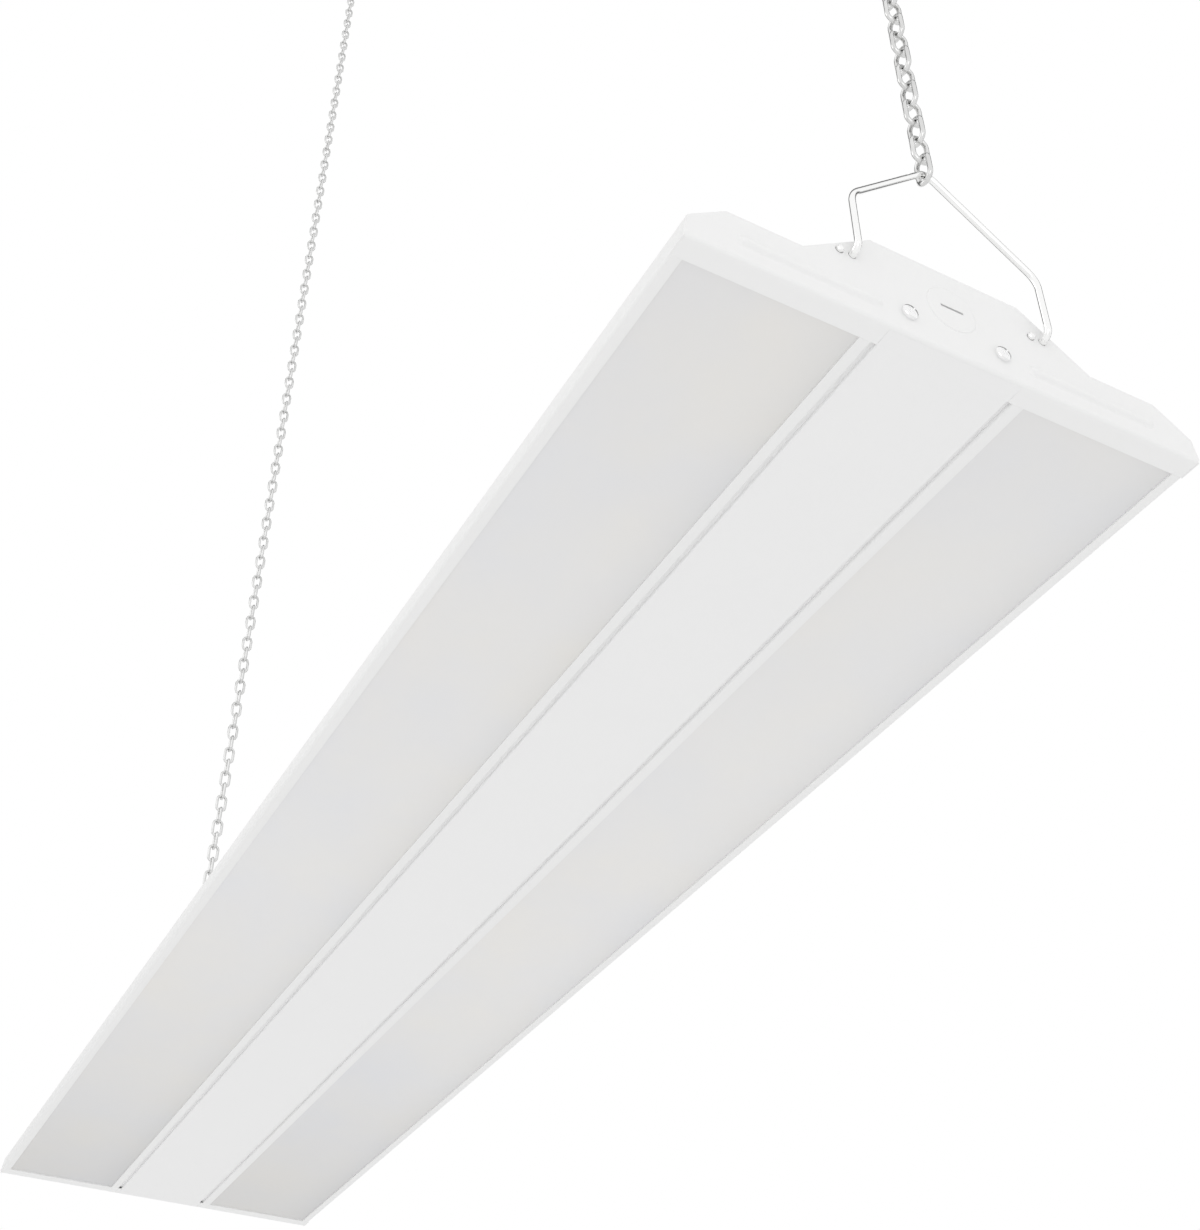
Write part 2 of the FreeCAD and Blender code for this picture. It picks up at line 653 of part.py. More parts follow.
def make_grommet():
    """Soft ring in the right-hand tray's lead outlet."""
    middle = WING_HEIGHT - 1.5 * SHEET
    half = SHEET / 2 + GROMMET_FLANGE
    wall = GROMMET_BORE / 2 + GROMMET_WALL
    place = at(outlet_x(), OUTLET_Y, middle - half)
    ring = Part.makeCylinder(wall + GROMMET_LIP, 2 * half, place)
    waist = Part.makeCylinder(wall + 2 * GROMMET_LIP, SHEET, place + Z_AXIS * GROMMET_FLANGE)
    neck = Part.makeCylinder(wall, SHEET, place + Z_AXIS * GROMMET_FLANGE)
    ring = ring.cut(waist.cut(neck))
    return ring.cut(Part.makeCylinder(GROMMET_BORE / 2, 2 * half, place))


# ---------------------------------------------------------------- hanging hardware
def make_v_hook():
    """Near V-hook: peg, leg and shoulder each side of the apex, and two turned tips."""
    inner_x = PAN_END - PEG_DEPTH - TIP_PITCH / 2
    tip_x = HALF_LENGTH + TIP_PROUD
    points = [
        at(tip_x, HOOK_Y - TIP_PITCH, PEG_H),
        at(inner_x, HOOK_Y - TIP_PITCH, PEG_H),
        at(inner_x, HOOK_Y, PEG_H),
        at(LEG_X, HOOK_Y, PEG_H),
        at(LEG_X, HOOK_Y, SHOULDER_H),
        at(PIVOT_X, 0, APEX_H + apex_rise()),
        at(LEG_X, -HOOK_Y, SHOULDER_H),
        at(LEG_X, -HOOK_Y, PEG_H),
        at(inner_x, -HOOK_Y, PEG_H),
        at(inner_x, -HOOK_Y - TIP_PITCH, PEG_H),
        at(tip_x, -HOOK_Y - TIP_PITCH, PEG_H),
    ]
    tip = TIP_PITCH / 2
    bends = [tip, tip, LEG_BEND, SHOULDER_BEND, APEX_BEND, SHOULDER_BEND, LEG_BEND, tip, tip]
    return bent_wire(points, bends, HOOK_WIRE)


def apex_rise():
    """Height of the two slopes' meeting point above the rounded apex, to the wire's axis.

    The rounding lowers a corner by bend * (1 / cos(turn / 2) - 1), and the slopes'
    own rise over the half spread fixes the turn, so the value is found by repeating.
    """
    rise = 0.0
    for _ in range(40):
        slope = math.atan2(APEX_H + rise - SHOULDER_H, math.hypot(HOOK_Y, LEG_X - PIVOT_X))
        rise = APEX_BEND * (1 / math.cos(slope) - 1)
    return rise


def make_ceiling_hook():
    """Near ceiling hook: pointed shank, flange, and a wire hook with its seat below it."""
    bowl = CEILING_HOOK_RADIUS
    z0 = -FLANGE_THICKNESS
    side_top = z0 - CEILING_NECK - CEILING_FLARE
    seat = -CEILING_HOOK_DROP
    points = [
        Vector(PIVOT_X, 0, z0 / 2),
        Vector(PIVOT_X, 0, z0 - CEILING_NECK),
        Vector(PIVOT_X - bowl, 0, side_top),
        Vector(PIVOT_X - bowl, 0, seat),
        Vector(PIVOT_X + bowl, 0, seat),
        Vector(PIVOT_X + bowl, 0, seat + bowl + CEILING_TIP),
    ]
    wire = bent_wire(points, [CEILING_FLARE_BEND, CEILING_FLARE_BEND, bowl, bowl], CEILING_WIRE)
    flange = Part.makeCylinder(FLANGE_DIA / 2, FLANGE_THICKNESS, Vector(PIVOT_X, 0, z0))
    shank = Part.makeCylinder(SHANK_DIA / 2, SHANK_LENGTH - SHANK_POINT, Vector(PIVOT_X, 0, 0))
    point = Part.makeCone(
        SHANK_DIA / 2, SHANK_DIA / 10, SHANK_POINT, Vector(PIVOT_X, 0, SHANK_LENGTH - SHANK_POINT)
    )
    tip = Part.makeSphere(CEILING_WIRE / 2, points[-1])
    return fused([wire, flange, shank, point, tip])


def chain_nodes():
    """Near chain in four bodies: bottom link, second link, the long run and top link."""
    model = link_solid()
    run = [link_along(i, model) for i in range(2, LINK_COUNT - 1)]
    return {
        "bottom_link": link_along(0, model),
        "second_link": link_along(1, model),
        "chain": Part.makeCompound(run),
        "top_link": link_along(LINK_COUNT - 1, model),
    }


# ---------------------------------------------------------------- the whole part
def make_nodes():
    """Every node by name."""
    nodes = {
        "housing": make_housing(),
        "driver_cover": make_cover(),
        "board_screws": make_board_screws(),
        "tray_rivets": make_rivets(),
        "driver": make_driver(),
        "driver_screws": make_driver_screws(),
        "terminal_block": make_terminal_block(),
        "ground_screw": pan_screw(
            GROUND_SCREW, GROUND_SCREW_REACH, at(GROUND_SCREW_X, 0, HEIGHT), Z_AXIS * -1
        ),
        "supply_leads": make_supply_leads(),
    }
    near_end = {
        "ceiling_hook": make_ceiling_hook(),
        "v_hook": make_v_hook(),
        "end_plate": make_end_plate(),
        "knockout": make_knockout(),
        "end_screws": Part.makeCompound(
            [pan_screw(END_SCREW, END_SCREW_REACH, p, X_AXIS * -1) for p in end_screw_places()]
        ),
    }
    near_end.update(chain_nodes())
    for name, shape in near_end.items():
        nodes["near_" + name] = shape
        nodes["far_" + name] = turned(shape)
    right_side = {
        "tray": make_tray(),
        "lens": make_lens(),
        "boards": make_boards(),
        "leds": make_leds(),
        "output_lead": make_output_lead(),
        "plug": make_plug(),
        "grommet": make_grommet(),
    }
    for name, shape in right_side.items():
        nodes["right_" + name] = shape
        nodes["left_" + name] = mirrored_y(shape)
    return nodes


def main():
    """Check every solid and write one STEP file for each node."""
    os.makedirs("parts", exist_ok=True)
    nodes = make_nodes()
    for name in sorted(nodes):
        shape = nodes[name]
        solids = shape.Solids
        if not solids or not all(solid.isValid() for solid in solids):
            raise ValueError("bad solid in " + name)
        shape.exportStep(os.path.join("parts", name + ".step"))
        print(f"{name:18s} solids {len(solids):4d} volume {shape.Volume:12.1f} mm3")
    print("underside", round(UNDERSIDE_Z, 3), "pivot x", round(PIVOT_X, 3))
    print("ceiling seat", round(-CEILING_HOOK_DROP, 3), "nodes", len(nodes))


main()
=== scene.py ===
# %% [markdown]
# Hanging shop light, seen from below. The real thing is a long white sheet-steel housing with two
# frosted diffusers, a wire V-hook through each end plate and a chain from each V-hook to a
# ceiling hook. The solids come packed in one frame; this lesson builds finer surfaces over them,
# gives every piece its finish, and lights the scene plainly.

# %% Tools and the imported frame
import math

import bmesh
import bpy
import numpy as np
from mathutils import Matrix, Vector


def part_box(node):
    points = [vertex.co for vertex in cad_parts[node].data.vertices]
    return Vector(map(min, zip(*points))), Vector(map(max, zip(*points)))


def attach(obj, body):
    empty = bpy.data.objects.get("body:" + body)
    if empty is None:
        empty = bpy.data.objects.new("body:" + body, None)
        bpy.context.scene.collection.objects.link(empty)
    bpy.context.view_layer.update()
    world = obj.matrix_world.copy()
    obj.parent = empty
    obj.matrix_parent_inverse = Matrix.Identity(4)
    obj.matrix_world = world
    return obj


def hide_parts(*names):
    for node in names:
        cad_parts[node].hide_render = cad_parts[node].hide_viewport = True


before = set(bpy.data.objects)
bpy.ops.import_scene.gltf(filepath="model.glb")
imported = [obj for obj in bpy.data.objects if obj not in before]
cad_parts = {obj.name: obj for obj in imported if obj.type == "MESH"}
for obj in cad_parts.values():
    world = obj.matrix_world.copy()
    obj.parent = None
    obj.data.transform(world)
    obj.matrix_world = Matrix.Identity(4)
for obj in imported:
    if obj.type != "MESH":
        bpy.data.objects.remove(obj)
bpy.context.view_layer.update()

# %% [markdown]
# Every place is read from the solids' own boxes where it can be, so that the fine pieces sit
# exactly over the plain ones. Heights are counted from the housing's underside, as a sheet-metal
# drawing would count them. Lengths are in metres. Where two sheets meet, a seam is left between
# them, and a hair between two lengths of the same sheet.

# %% Places read from the frame
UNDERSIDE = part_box("housing")[0].z
PAN_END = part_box("housing")[1].x
HALF_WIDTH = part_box("housing")[1].y
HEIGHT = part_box("near_end_plate")[1].z - UNDERSIDE
SHEET = 0.0008
HALF_LENGTH = PAN_END + SHEET
PIVOT_X = HALF_LENGTH - SHEET / 2
END_LIP = 0.0125
LIP_END = HALF_LENGTH - END_LIP
SEAM, HAIR = 0.00003, 0.00001
SHARP_ANGLE = math.radians(30)
print("underside", round(UNDERSIDE, 5), "height", round(HEIGHT, 5))
print("half length", round(HALF_LENGTH, 5))


def at(x, y, h):
    """A point at height h above the underside."""
    return np.array([x, y, UNDERSIDE + h])


# %% [markdown]
# A surface here is a grid: two numbers run over it, and a formula turns them into a place. The
# grid's faces are always the same four-cornered cells, so one helper makes them for every piece,
# and can close the grid on itself in either direction.


# %% Grid cells
def grid_cells(rows, columns, wrap_rows=False, wrap_columns=False):
    """Cells of a rows x columns grid: corner (i, j), its right neighbour, the two above them."""
    i = np.arange(rows if wrap_rows else rows - 1)[:, None]
    j = np.arange(columns if wrap_columns else columns - 1)[None, :]
    up, right = (i + 1) % rows, (j + 1) % columns
    corners = [i * columns + j, i * columns + right, up * columns + right, up * columns + j]
    return np.stack([c + 0 * (i + j) for c in corners], axis=-1).reshape(-1, 4)


print("cells of a 3 x 4 grid:", len(grid_cells(3, 4)))


# %% [markdown]
# One helper turns arrays into a Blender mesh, merges the points that fall together at poles and
# seams, and points the faces outwards when the shape is closed. Smooth shading with sharp edges
# kept above 30 degrees is what pressed metal and wire both want.


# %% Arrays to an object
def new_piece(name, points, cells, closed=True):
    """Mesh object from an array of places and an array, or a list of arrays, of cells."""
    cells = cells if isinstance(cells, list) else [cells]
    mesh = bpy.data.meshes.new(name)
    mesh.from_pydata(points.tolist(), [], sum((c.tolist() for c in cells), []))
    work = bmesh.new()
    work.from_mesh(mesh)
    bmesh.ops.remove_doubles(work, verts=work.verts, dist=2e-7)
    bmesh.ops.dissolve_degenerate(work, edges=work.edges, dist=1e-7)
    if closed:
        bmesh.ops.recalc_face_normals(work, faces=work.faces)
    work.to_mesh(mesh)
    work.free()
    mesh.shade_smooth()
    mesh.set_sharp_from_angle(angle=SHARP_ANGLE)
    piece = bpy.data.objects.new(name, mesh)
    bpy.context.scene.collection.objects.link(piece)
    return piece


def dress(piece, body, node, finish):
    """Lets a piece ride on a body, stand for a solid, and take a finish."""
    piece.data.materials.clear()
    piece.data.materials.append(finish)
    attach(piece, body)
    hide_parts(node)
    print(f"{piece.name:22s} {len(piece.data.polygons):6d} faces, for {node}")


def joined(parts):
    """One array of points and one list of cells from several (points, cells) pairs."""
    points, cells, start = [], [], 0
    for part_points, part_cells in parts:
        points.append(part_points)
        cells.append(part_cells + start)
        start += len(part_points)
    return np.concatenate(points), cells


def turned(points):
    """Places turned half round the upright axis: from the near end to the far end."""
    return points * np.array([-1.0, -1.0, 1.0])


# %% [markdown]
# Finishes are written as formulas. A small class wraps one socket of a shader, and its operators
# add the Math node of the same meaning, so 1 - mask reads as it does on paper. All other nodes
# come from one method: type, settings, then the values or links of its sockets.


# %% Shader formulas
class Value:
    """A number on its way through a shader."""

    def __init__(self, finish, socket):
        self.finish, self.socket = finish, socket

    def math(self, operation, first, second):
        values = {0: first, 1: second}
        return self.finish.add("ShaderNodeMath", {"operation": operation}, values)

    def __add__(self, other):
        return self.math("ADD", self, other)

    def __sub__(self, other):
        return self.math("SUBTRACT", self, other)

    def __rsub__(self, other):
        return self.math("SUBTRACT", other, self)

    def __mul__(self, other):
        return self.math("MULTIPLY", self, other)

    def __truediv__(self, other):
        return self.math("DIVIDE", self, other)

    def __pow__(self, other):
        return self.math("POWER", self, other)

    def clipped(self):
        """The value kept between 0 and 1."""
        return self.math("MINIMUM", self.math("MAXIMUM", self, 0.0), 1.0)

    __rmul__ = __mul__


class Finish:
    """A material, or the world, being written node by node."""

    def __init__(self, owner):
        self.owner = owner
        owner.use_nodes = True
        self.tree = owner.node_tree
        self.shader = self.tree.nodes.get("Principled BSDF")

    def add(self, kind, settings=None, values=None, output=0):
        """Adds a node, sets it, then fills its sockets; gives back one of its outputs."""
        node = self.tree.nodes.new(kind)
        for name, setting in (settings or {}).items():
            setattr(node, name, setting)
        self.fill(node, values or {})
        return Value(self, node.outputs[output])

    def fill(self, node, values):
        """Puts numbers on a node's sockets, or links them."""
        for name, value in values.items():
            if isinstance(value, Value):
                self.tree.links.new(value.socket, node.inputs[name])
            else:
                node.inputs[name].default_value = value

    def place(self, scale):
        """Object coordinates, stretched by a scale along each axis."""
        here = self.add("ShaderNodeTexCoord", output="Object")
        return self.add("ShaderNodeMapping", None, {"Vector": here, "Scale": scale})

    def noise(self, scale, detail=2.0, roughness=0.5, stretch=(1.0, 1.0, 1.0)):
        """Soft cloudy noise; scale counts its blobs in a metre."""
        values = {"Vector": self.place(stretch), "Scale": scale}
        values.update({"Detail": detail, "Roughness": roughness})
        return self.add("ShaderNodeTexNoise", {"noise_dimensions": "3D"}, values)

    def between(self, mask, first, second):
        """A colour that goes from the first to the second as the mask goes from 0 to 1."""
        values = {0: mask, 6: (*first, 1.0), 7: (*second, 1.0)}
        return self.add("ShaderNodeMix", {"data_type": "RGBA"}, values, output=2)

    def bump(self, height, distance, strength):
        """A normal bent by a height between 0 and 1, spread over a distance in metres."""
        values = {"Height": height, "Distance": distance, "Strength": strength}
        return self.add("ShaderNodeBump", None, values, output="Normal")


def finish(name, constants=None):
    """A new material with plain numbers on its shader's sockets."""
    made = Finish(bpy.data.materials.new(name))
    made.fill(made.shader, constants or {})
    return made


print("formula class ready")

# %% [markdown]
# The housing, end plates and trays are powder-coated steel, nearly matt. Powder melts into a skin
# with a faint orange-peel ripple about 2 mm across, which shows only where it catches light, and
# its gloss drifts a little over the sheet.


# %% Powder-coated white
def powder_white(name, light, shade, roughness=0.45, peel=0.00007):
    """White powder coat: drifting tone and gloss, and an orange-peel ripple."""
    made = finish(name, {"IOR": 1.5, "Specular IOR Level": 0.4})
    drift = made.noise(3.5, 2.0)
    cloud = made.noise(26.0, 3.0)
    ripple = made.noise(420.0, 1.5)
    grit = made.noise(2600.0, 1.0)
    tone = drift * 0.6 + cloud * 0.4
    made.fill(made.shader, {
        "Base Color": made.between((tone * 2.2 - 0.6).clipped(), shade, light),
        "Roughness": (cloud - 0.5) * 0.1 + roughness,
        "Normal": made.bump(ripple * 0.85 + grit * 0.15, peel, 0.6),
    })
    return made.owner


plate_white = powder_white("end_plate_white", (0.885, 0.885, 0.882), (0.872, 0.872, 0.87))
shell_white = powder_white("housing_white", (0.88, 0.879, 0.875), (0.86, 0.86, 0.858))
cover_white = powder_white("cover_white", (0.885, 0.885, 0.884), (0.872, 0.872, 0.872))
tray_white = powder_white("tray_white", (0.875, 0.875, 0.872), (0.86, 0.86, 0.858))
print("powder coats", plate_white.name, shell_white.name, cover_white.name, tray_white.name)

# %% [markdown]
# The diffusers are frosted acrylic, lit only from outside here. The sheet looks a little greyer
# than the paint, mottled with patches a few centimetres across that lean warm or cool, and it is
# finely etched, so its highlight is broad. Shade is also painted into its colour: each sheet is
# palest about its middle and painted greyer towards the far end, a little towards the near end
# and along its right rim, where the hollow behind it gives less light back.


# %% Frosted diffuser
# Painted shade on each diffuser: where it starts, how far it reaches, and how grey it gets at the
# far end, the near end and the rim.
FAR_START, FAR_REACH, FAR_PAINTED_SHADE = 0.1, 0.7, 0.17
NEAR_REACH, NEAR_PAINTED_SHADE = 0.6, 0.04
RIM_REACH, RIM_PAINTED_SHADE = 0.045, 0.07
WARM, COOL = (0.838, 0.823, 0.795), (0.795, 0.8, 0.82)
PALE, PAINTED_SHADE_BLACK = (0.845, 0.845, 0.845, 1.0), (0.0, 0.0, 0.0, 1.0)


def frosted_with_painted_shade(name, rim):
    """Frosted acrylic: grey-white with warm and cool patches and an etched skin, with shade painted
    over it. The painted shade grows with the square of the way to each end, and with the cube of
    the nearness to the rim, which is at y = rim."""
    made = finish(name, {"IOR": 1.49})
    place = made.add("ShaderNodeTexCoord", output="Object")
    x = made.add("ShaderNodeSeparateXYZ", None, {"Vector": place}, output="X")
    y = Value(made, x.socket.node.outputs["Y"])
    far_end_painted_shade = ((FAR_START - x) / FAR_REACH).clipped() ** 2.0 * FAR_PAINTED_SHADE
    near_end_painted_shade = (x / NEAR_REACH).clipped() ** 2.0 * NEAR_PAINTED_SHADE
    rim_painted_shade = ((y - rim) / RIM_REACH + 1.0).clipped() ** 3.0 * RIM_PAINTED_SHADE
    patch = made.noise(9.0, 3.0, 0.55)
    other = made.noise(5.0, 2.0, 0.5, (1.0, 1.3, 1.0))
    etch = made.noise(5200.0, 1.0)
    mottled = made.between((patch * 2.4 - 0.7).clipped(), COOL, WARM)
    values = {0: (other * 1.8 - 0.5).clipped() * 0.5, 6: mottled, 7: PALE}
    pale = made.add("ShaderNodeMix", {"data_type": "RGBA"}, values, output=2)
    # Painted shade: the colour is mixed towards black by the far-end, near-end and rim masks.
    values = {0: far_end_painted_shade + near_end_painted_shade + rim_painted_shade, 6: pale, 7: PAINTED_SHADE_BLACK}
    made.fill(made.shader, {
        "Base Color": made.add("ShaderNodeMix", {"data_type": "RGBA"}, values, output=2),
        "Roughness": (patch - 0.5) * 0.12 + 0.58,
        "Normal": made.bump(etch, 0.00002, 0.5),
    })
    return made.owner


frosts_and_painted_shade = {
    "right": frosted_with_painted_shade("right_diffuser_frost_painted_shade", rim=0.1385),
    "left": frosted_with_painted_shade("left_diffuser_frost_painted_shade", rim=-0.0465),
}
print("diffusers", [frost.name for frost in frosts_and_painted_shade.values()])

# %% [markdown]
# The hooks and chains are bright plated steel wire. Plating follows the drawn wire's fine
# lengthwise lines, so the gloss varies in thin streaks, and handling leaves soft duller patches.
# The ceiling hooks and screws are zinc, greyer and a little duller.


# %% Plated wire
def plated(name, light, shade, roughness, lines=0.000003):
    """Plated steel: metal with soft patches, small tone changes and fine scratches."""
    made = finish(name, {"Metallic": 1.0})
    patch = made.noise(60.0, 3.0)
    fleck = made.noise(900.0, 2.0)
    scratch = made.noise(2500.0, 1.0, 0.5, (1.0, 1.0, 0.15))
    made.fill(made.shader, {
        "Base Color": made.between((patch * 1.6 - 0.3).clipped(), shade, light),
        "Roughness": ((patch - 0.5) * 0.14 + (fleck - 0.5) * 0.06 + roughness).clipped(),
        "Normal": made.bump(scratch * 0.6 + fleck * 0.4, lines, 0.4),
    })
    return made.owner


hook_nickel = plated("v_hook_nickel", (0.97, 0.97, 0.965), (0.93, 0.93, 0.925), 0.09)
chain_nickel = plated("chain_nickel", (0.82, 0.82, 0.815), (0.66, 0.66, 0.655), 0.14)
hook_zinc = plated("ceiling_hook_zinc", (0.78, 0.79, 0.8), (0.7, 0.71, 0.72), 0.26)
screw_zinc = plated("screw_zinc", (0.95, 0.95, 0.95), (0.9, 0.9, 0.9), 0.13)
rivet_plain = plated("rivet_aluminium", (0.8, 0.8, 0.81), (0.72, 0.72, 0.73), 0.34)
print("plated metals", hook_nickel.name, chain_nickel.name, hook_zinc.name, screw_zinc.name)

# %% [markdown]
# Folded sheet metal is one line drawn in section and carried along the length. The line is
# rounded where the press brake bent it, then thickened half a sheet to each side. Working on the
# sheet's middle line keeps its thickness true round every bend.


# %% Lines, bends and sheet sections
def unit(vectors):
    """Vectors of length one."""
    return vectors / np.linalg.norm(vectors, axis=-1, keepdims=True)


def rounded_path(corners, bends, steps):
    """Straight runs joined by arcs. Each arc starts bend x tan(turn / 2) before its corner, and
    goes bend x sin(angle) onwards and bend x (1 - cos(angle)) to the side the path turns to."""
    corners = np.asarray(corners, float)
    runs = [corners[:1]]
    for before, corner, after, bend in zip(corners, corners[1:], corners[2:], bends):
        into, out = unit(corner - before), unit(after - corner)
        ahead = float(np.clip(into @ out, -1, 1))
        turn = math.acos(ahead)
        side = unit(out - ahead * into)
        angle = np.linspace(0, turn, steps + 1)[:, None]
        start = corner - into * bend * math.tan(turn / 2)
        runs.append(start + bend * (np.sin(angle) * into + (1 - np.cos(angle)) * side))
    path = np.concatenate(runs + [corners[-1:]])
    moved = np.linalg.norm(np.diff(path, axis=0), axis=1) > 1e-7
    return path[np.concatenate([[True], moved])]


def offset_line(points, distance):
    """Every run moved to its right by distance; a corner moves along the sum of its two sides'
    normals, divided by one plus their product, which is where the moved runs meet."""
    points = np.asarray(points, float)
    run = unit(np.diff(points, axis=0))
    right = np.stack([run[:, 1], -run[:, 0]], axis=1)
    first, last = np.concatenate([right[:1], right]), np.concatenate([right, right[-1:]])
    reach = (first + last) / (1 + np.sum(first * last, axis=1, keepdims=True))
    return points + distance * reach


def path_directions(path, closed=False):
    """Direction at each point: the mean of the runs before and after it."""
    if closed:
        run = unit(np.roll(path, -1, axis=0) - path)
        return unit(run + np.roll(run, 1, axis=0))
    run = unit(np.diff(path, axis=0))
    return unit(np.concatenate([run[:1], run[:-1] + run[1:], run[-1:]]))


def sheet_section(corners, bend, thickness=SHEET, steps=5):
    """Closed outline of a folded sheet in (y, h): its middle line plus and minus half a sheet."""
    middle = offset_line(corners, thickness / 2)
    line = rounded_path(middle, [bend] * (len(corners) - 2), steps)
    ahead = path_directions(line)
    side = np.stack([ahead[:, 1], -ahead[:, 0]], axis=1) * thickness / 2
    return line - side, line + side


def swept(section, x0, x1):
    """A sheet section carried along X from x0 to x1, with its two cut ends closed."""
    outer, inner = section
    ring = np.concatenate([outer, inner[::-1]])
    count, half = len(ring), len(outer)
    points = np.concatenate([
        np.column_stack([np.full(count, x), ring[:, 0], UNDERSIDE + ring[:, 1]]) for x in (x0, x1)
    ])
    walls = grid_cells(2, count, wrap_columns=True)
    i = np.arange(half - 1)
    end = np.stack([i, i + 1, count - 2 - i, count - 1 - i], axis=1)
    return points, np.concatenate([walls, end, end + count])


sample = rounded_path([(0, 0), (1, 0), (1, 1)], [0.2], 5)
print("a right-angle bend of 5 steps has", len(sample), "points")

# %% [markdown]
# The housing is one folded pan: a rim under each side, a side wall that leans in a little, a
# slope, the wing, another slope and the raised centre. The rims stop short of the ends, where the
# end plates' lips take over, so the pan is swept in three lengths from two sections and joined. A
# hair's breadth is left between the lengths: each stays a closed solid, whose faces can be turned
# outwards.

# %% Housing
SIDE_RIM, SIDE_H, SIDE_LEAN = 0.0065, 0.014, 0.002
WING_H, WING_HALF, STEP_FOOT = 0.0285, 0.1225, 0.0825
TOP_H, TOP_HALF = 0.056, 0.043
BEND, COVER_BEND = 0.0011, 0.0006
WINDOW_OUTER = HALF_WIDTH - SIDE_RIM
STEP_LINE = np.array([
    (HALF_WIDTH, 0.0), (HALF_WIDTH - SIDE_LEAN, SIDE_H), (WING_HALF, WING_H),
    (STEP_FOOT, WING_H), (TOP_HALF, TOP_H),
])
over_the_top = np.concatenate([STEP_LINE, STEP_LINE[::-1] * [-1, 1]])
with_rims = np.concatenate([[(WINDOW_OUTER, 0.0)], over_the_top, [(-WINDOW_OUTER, 0.0)]])
full_section = sheet_section(with_rims[::-1], BEND)
rimless_section = sheet_section(over_the_top[::-1], BEND)
NOTCH = LIP_END - SEAM
MIDDLE = NOTCH - HAIR
shell_parts = [
    swept(full_section, -MIDDLE, MIDDLE),
    swept(rimless_section, NOTCH, PAN_END),
    swept(rimless_section, -PAN_END, -NOTCH),
]
housing_shell = new_piece("housing_shell", *joined(shell_parts))
dress(housing_shell, "housing", "housing", shell_white)

# %% [markdown]
# A reflector tray lies under each wing. Its folded rail is the narrow strip between the slit and
# the diffuser; the rest is hidden. It is swept like the housing, with the rail left off under the
# lips.


# %% Reflector trays
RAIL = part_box("right_tray")[0].y
SLIT, RAIL_WIDTH, BARE_FOOT = 0.0026, 0.0067, 0.001
COVER_EDGE = RAIL - SLIT
WINDOW_INNER = RAIL + RAIL_WIDTH
TRAY_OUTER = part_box("right_tray")[1].y
TRAY_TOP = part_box("right_tray")[1].z - UNDERSIDE
wall = [(RAIL, TRAY_TOP), (TRAY_OUTER, TRAY_TOP)]
railed = sheet_section([(WINDOW_INNER, 0.0), (RAIL, 0.0)] + wall, BEND)
bare = sheet_section([(RAIL, BARE_FOOT)] + wall, BEND)
for side, name in ((1, "right"), (-1, "left")):
    parts = [
        swept(railed, -MIDDLE, MIDDLE),
        swept(bare, NOTCH, PAN_END),
        swept(bare, -PAN_END, -NOTCH),
    ]
    points, cells = joined(parts)
    points[:, 1] *= side
    tray = new_piece(f"{name}_tray_sheet", points, cells)
    dress(tray, "housing", f"{name}_tray", tray_white)

# %% [markdown]
# The cover is a shallow channel with a flange each side, which closes the slit two millimetres
# up, so that the slit is a pale groove and not a black line. Its flat runs on into the end
# plates' fold without a mark, so its bends are round only as far as the lips, and square between
# them, and it stops a hair short of the fold, where the plate's toe meets it. Its two upright
# tabs, which the end screws bite into, are thin plates behind the end plates.


# %% Driver cover
TOE = 0.0024
TOE_END = HALF_LENGTH - TOE
COVER_END = TOE_END - SEAM - HAIR
TAB_INSET, TAB_HALF, TAB_FOOT, TAB_TOP = 0.0024, 0.034, 0.001, 0.02


def slab(low, high):
    """A thin plate between two corners, as a closed ring of four edges swept once."""
    (x0, y0, z0), (x1, y1, z1) = low, high
    ring = np.array([(y0, z0), (y1, z0), (y1, z1), (y0, z1)])
    points = np.concatenate([np.column_stack([np.full(4, x), ring]) for x in (x0, x1)])
    cells = np.concatenate([grid_cells(2, 4, wrap_columns=True), [[0, 1, 2, 3], [4, 5, 6, 7]]])
    return points, cells


FLANGE_H, FLANGE_EDGE = 0.0022, RAIL + 0.0002
half_channel = np.array([(FLANGE_EDGE, FLANGE_H), (COVER_EDGE, FLANGE_H), (COVER_EDGE, 0.0)])
channel = np.concatenate([half_channel, half_channel[::-1] * [-1, 1]])
square_channel = (channel, offset_line(channel, SHEET))
tab_low = at(TOE_END - TAB_INSET, -TAB_HALF, TAB_FOOT)
tab_high = at(TOE_END - TAB_INSET + SHEET, TAB_HALF, TAB_TOP)
near_tab = slab(tab_low, tab_high)
cover_parts = [
    swept(sheet_section(channel, COVER_BEND), -MIDDLE, MIDDLE),
    swept(square_channel, NOTCH, COVER_END),
    swept(square_channel, -COVER_END, -NOTCH),
    near_tab,
    (turned(near_tab[0]), near_tab[1]),
]
driver_cover = new_piece("driver_cover_sheet", *joined(cover_parts))
dress(driver_cover, "housing", "driver_cover", cover_white)

# %% [markdown]
# Each diffuser is a flat extruded panel that drops into its window from inside. Its edges are
# eased with a small bevel, and the panel sags by a third of a millimetre between its ends, as a
# long thin acrylic sheet does.


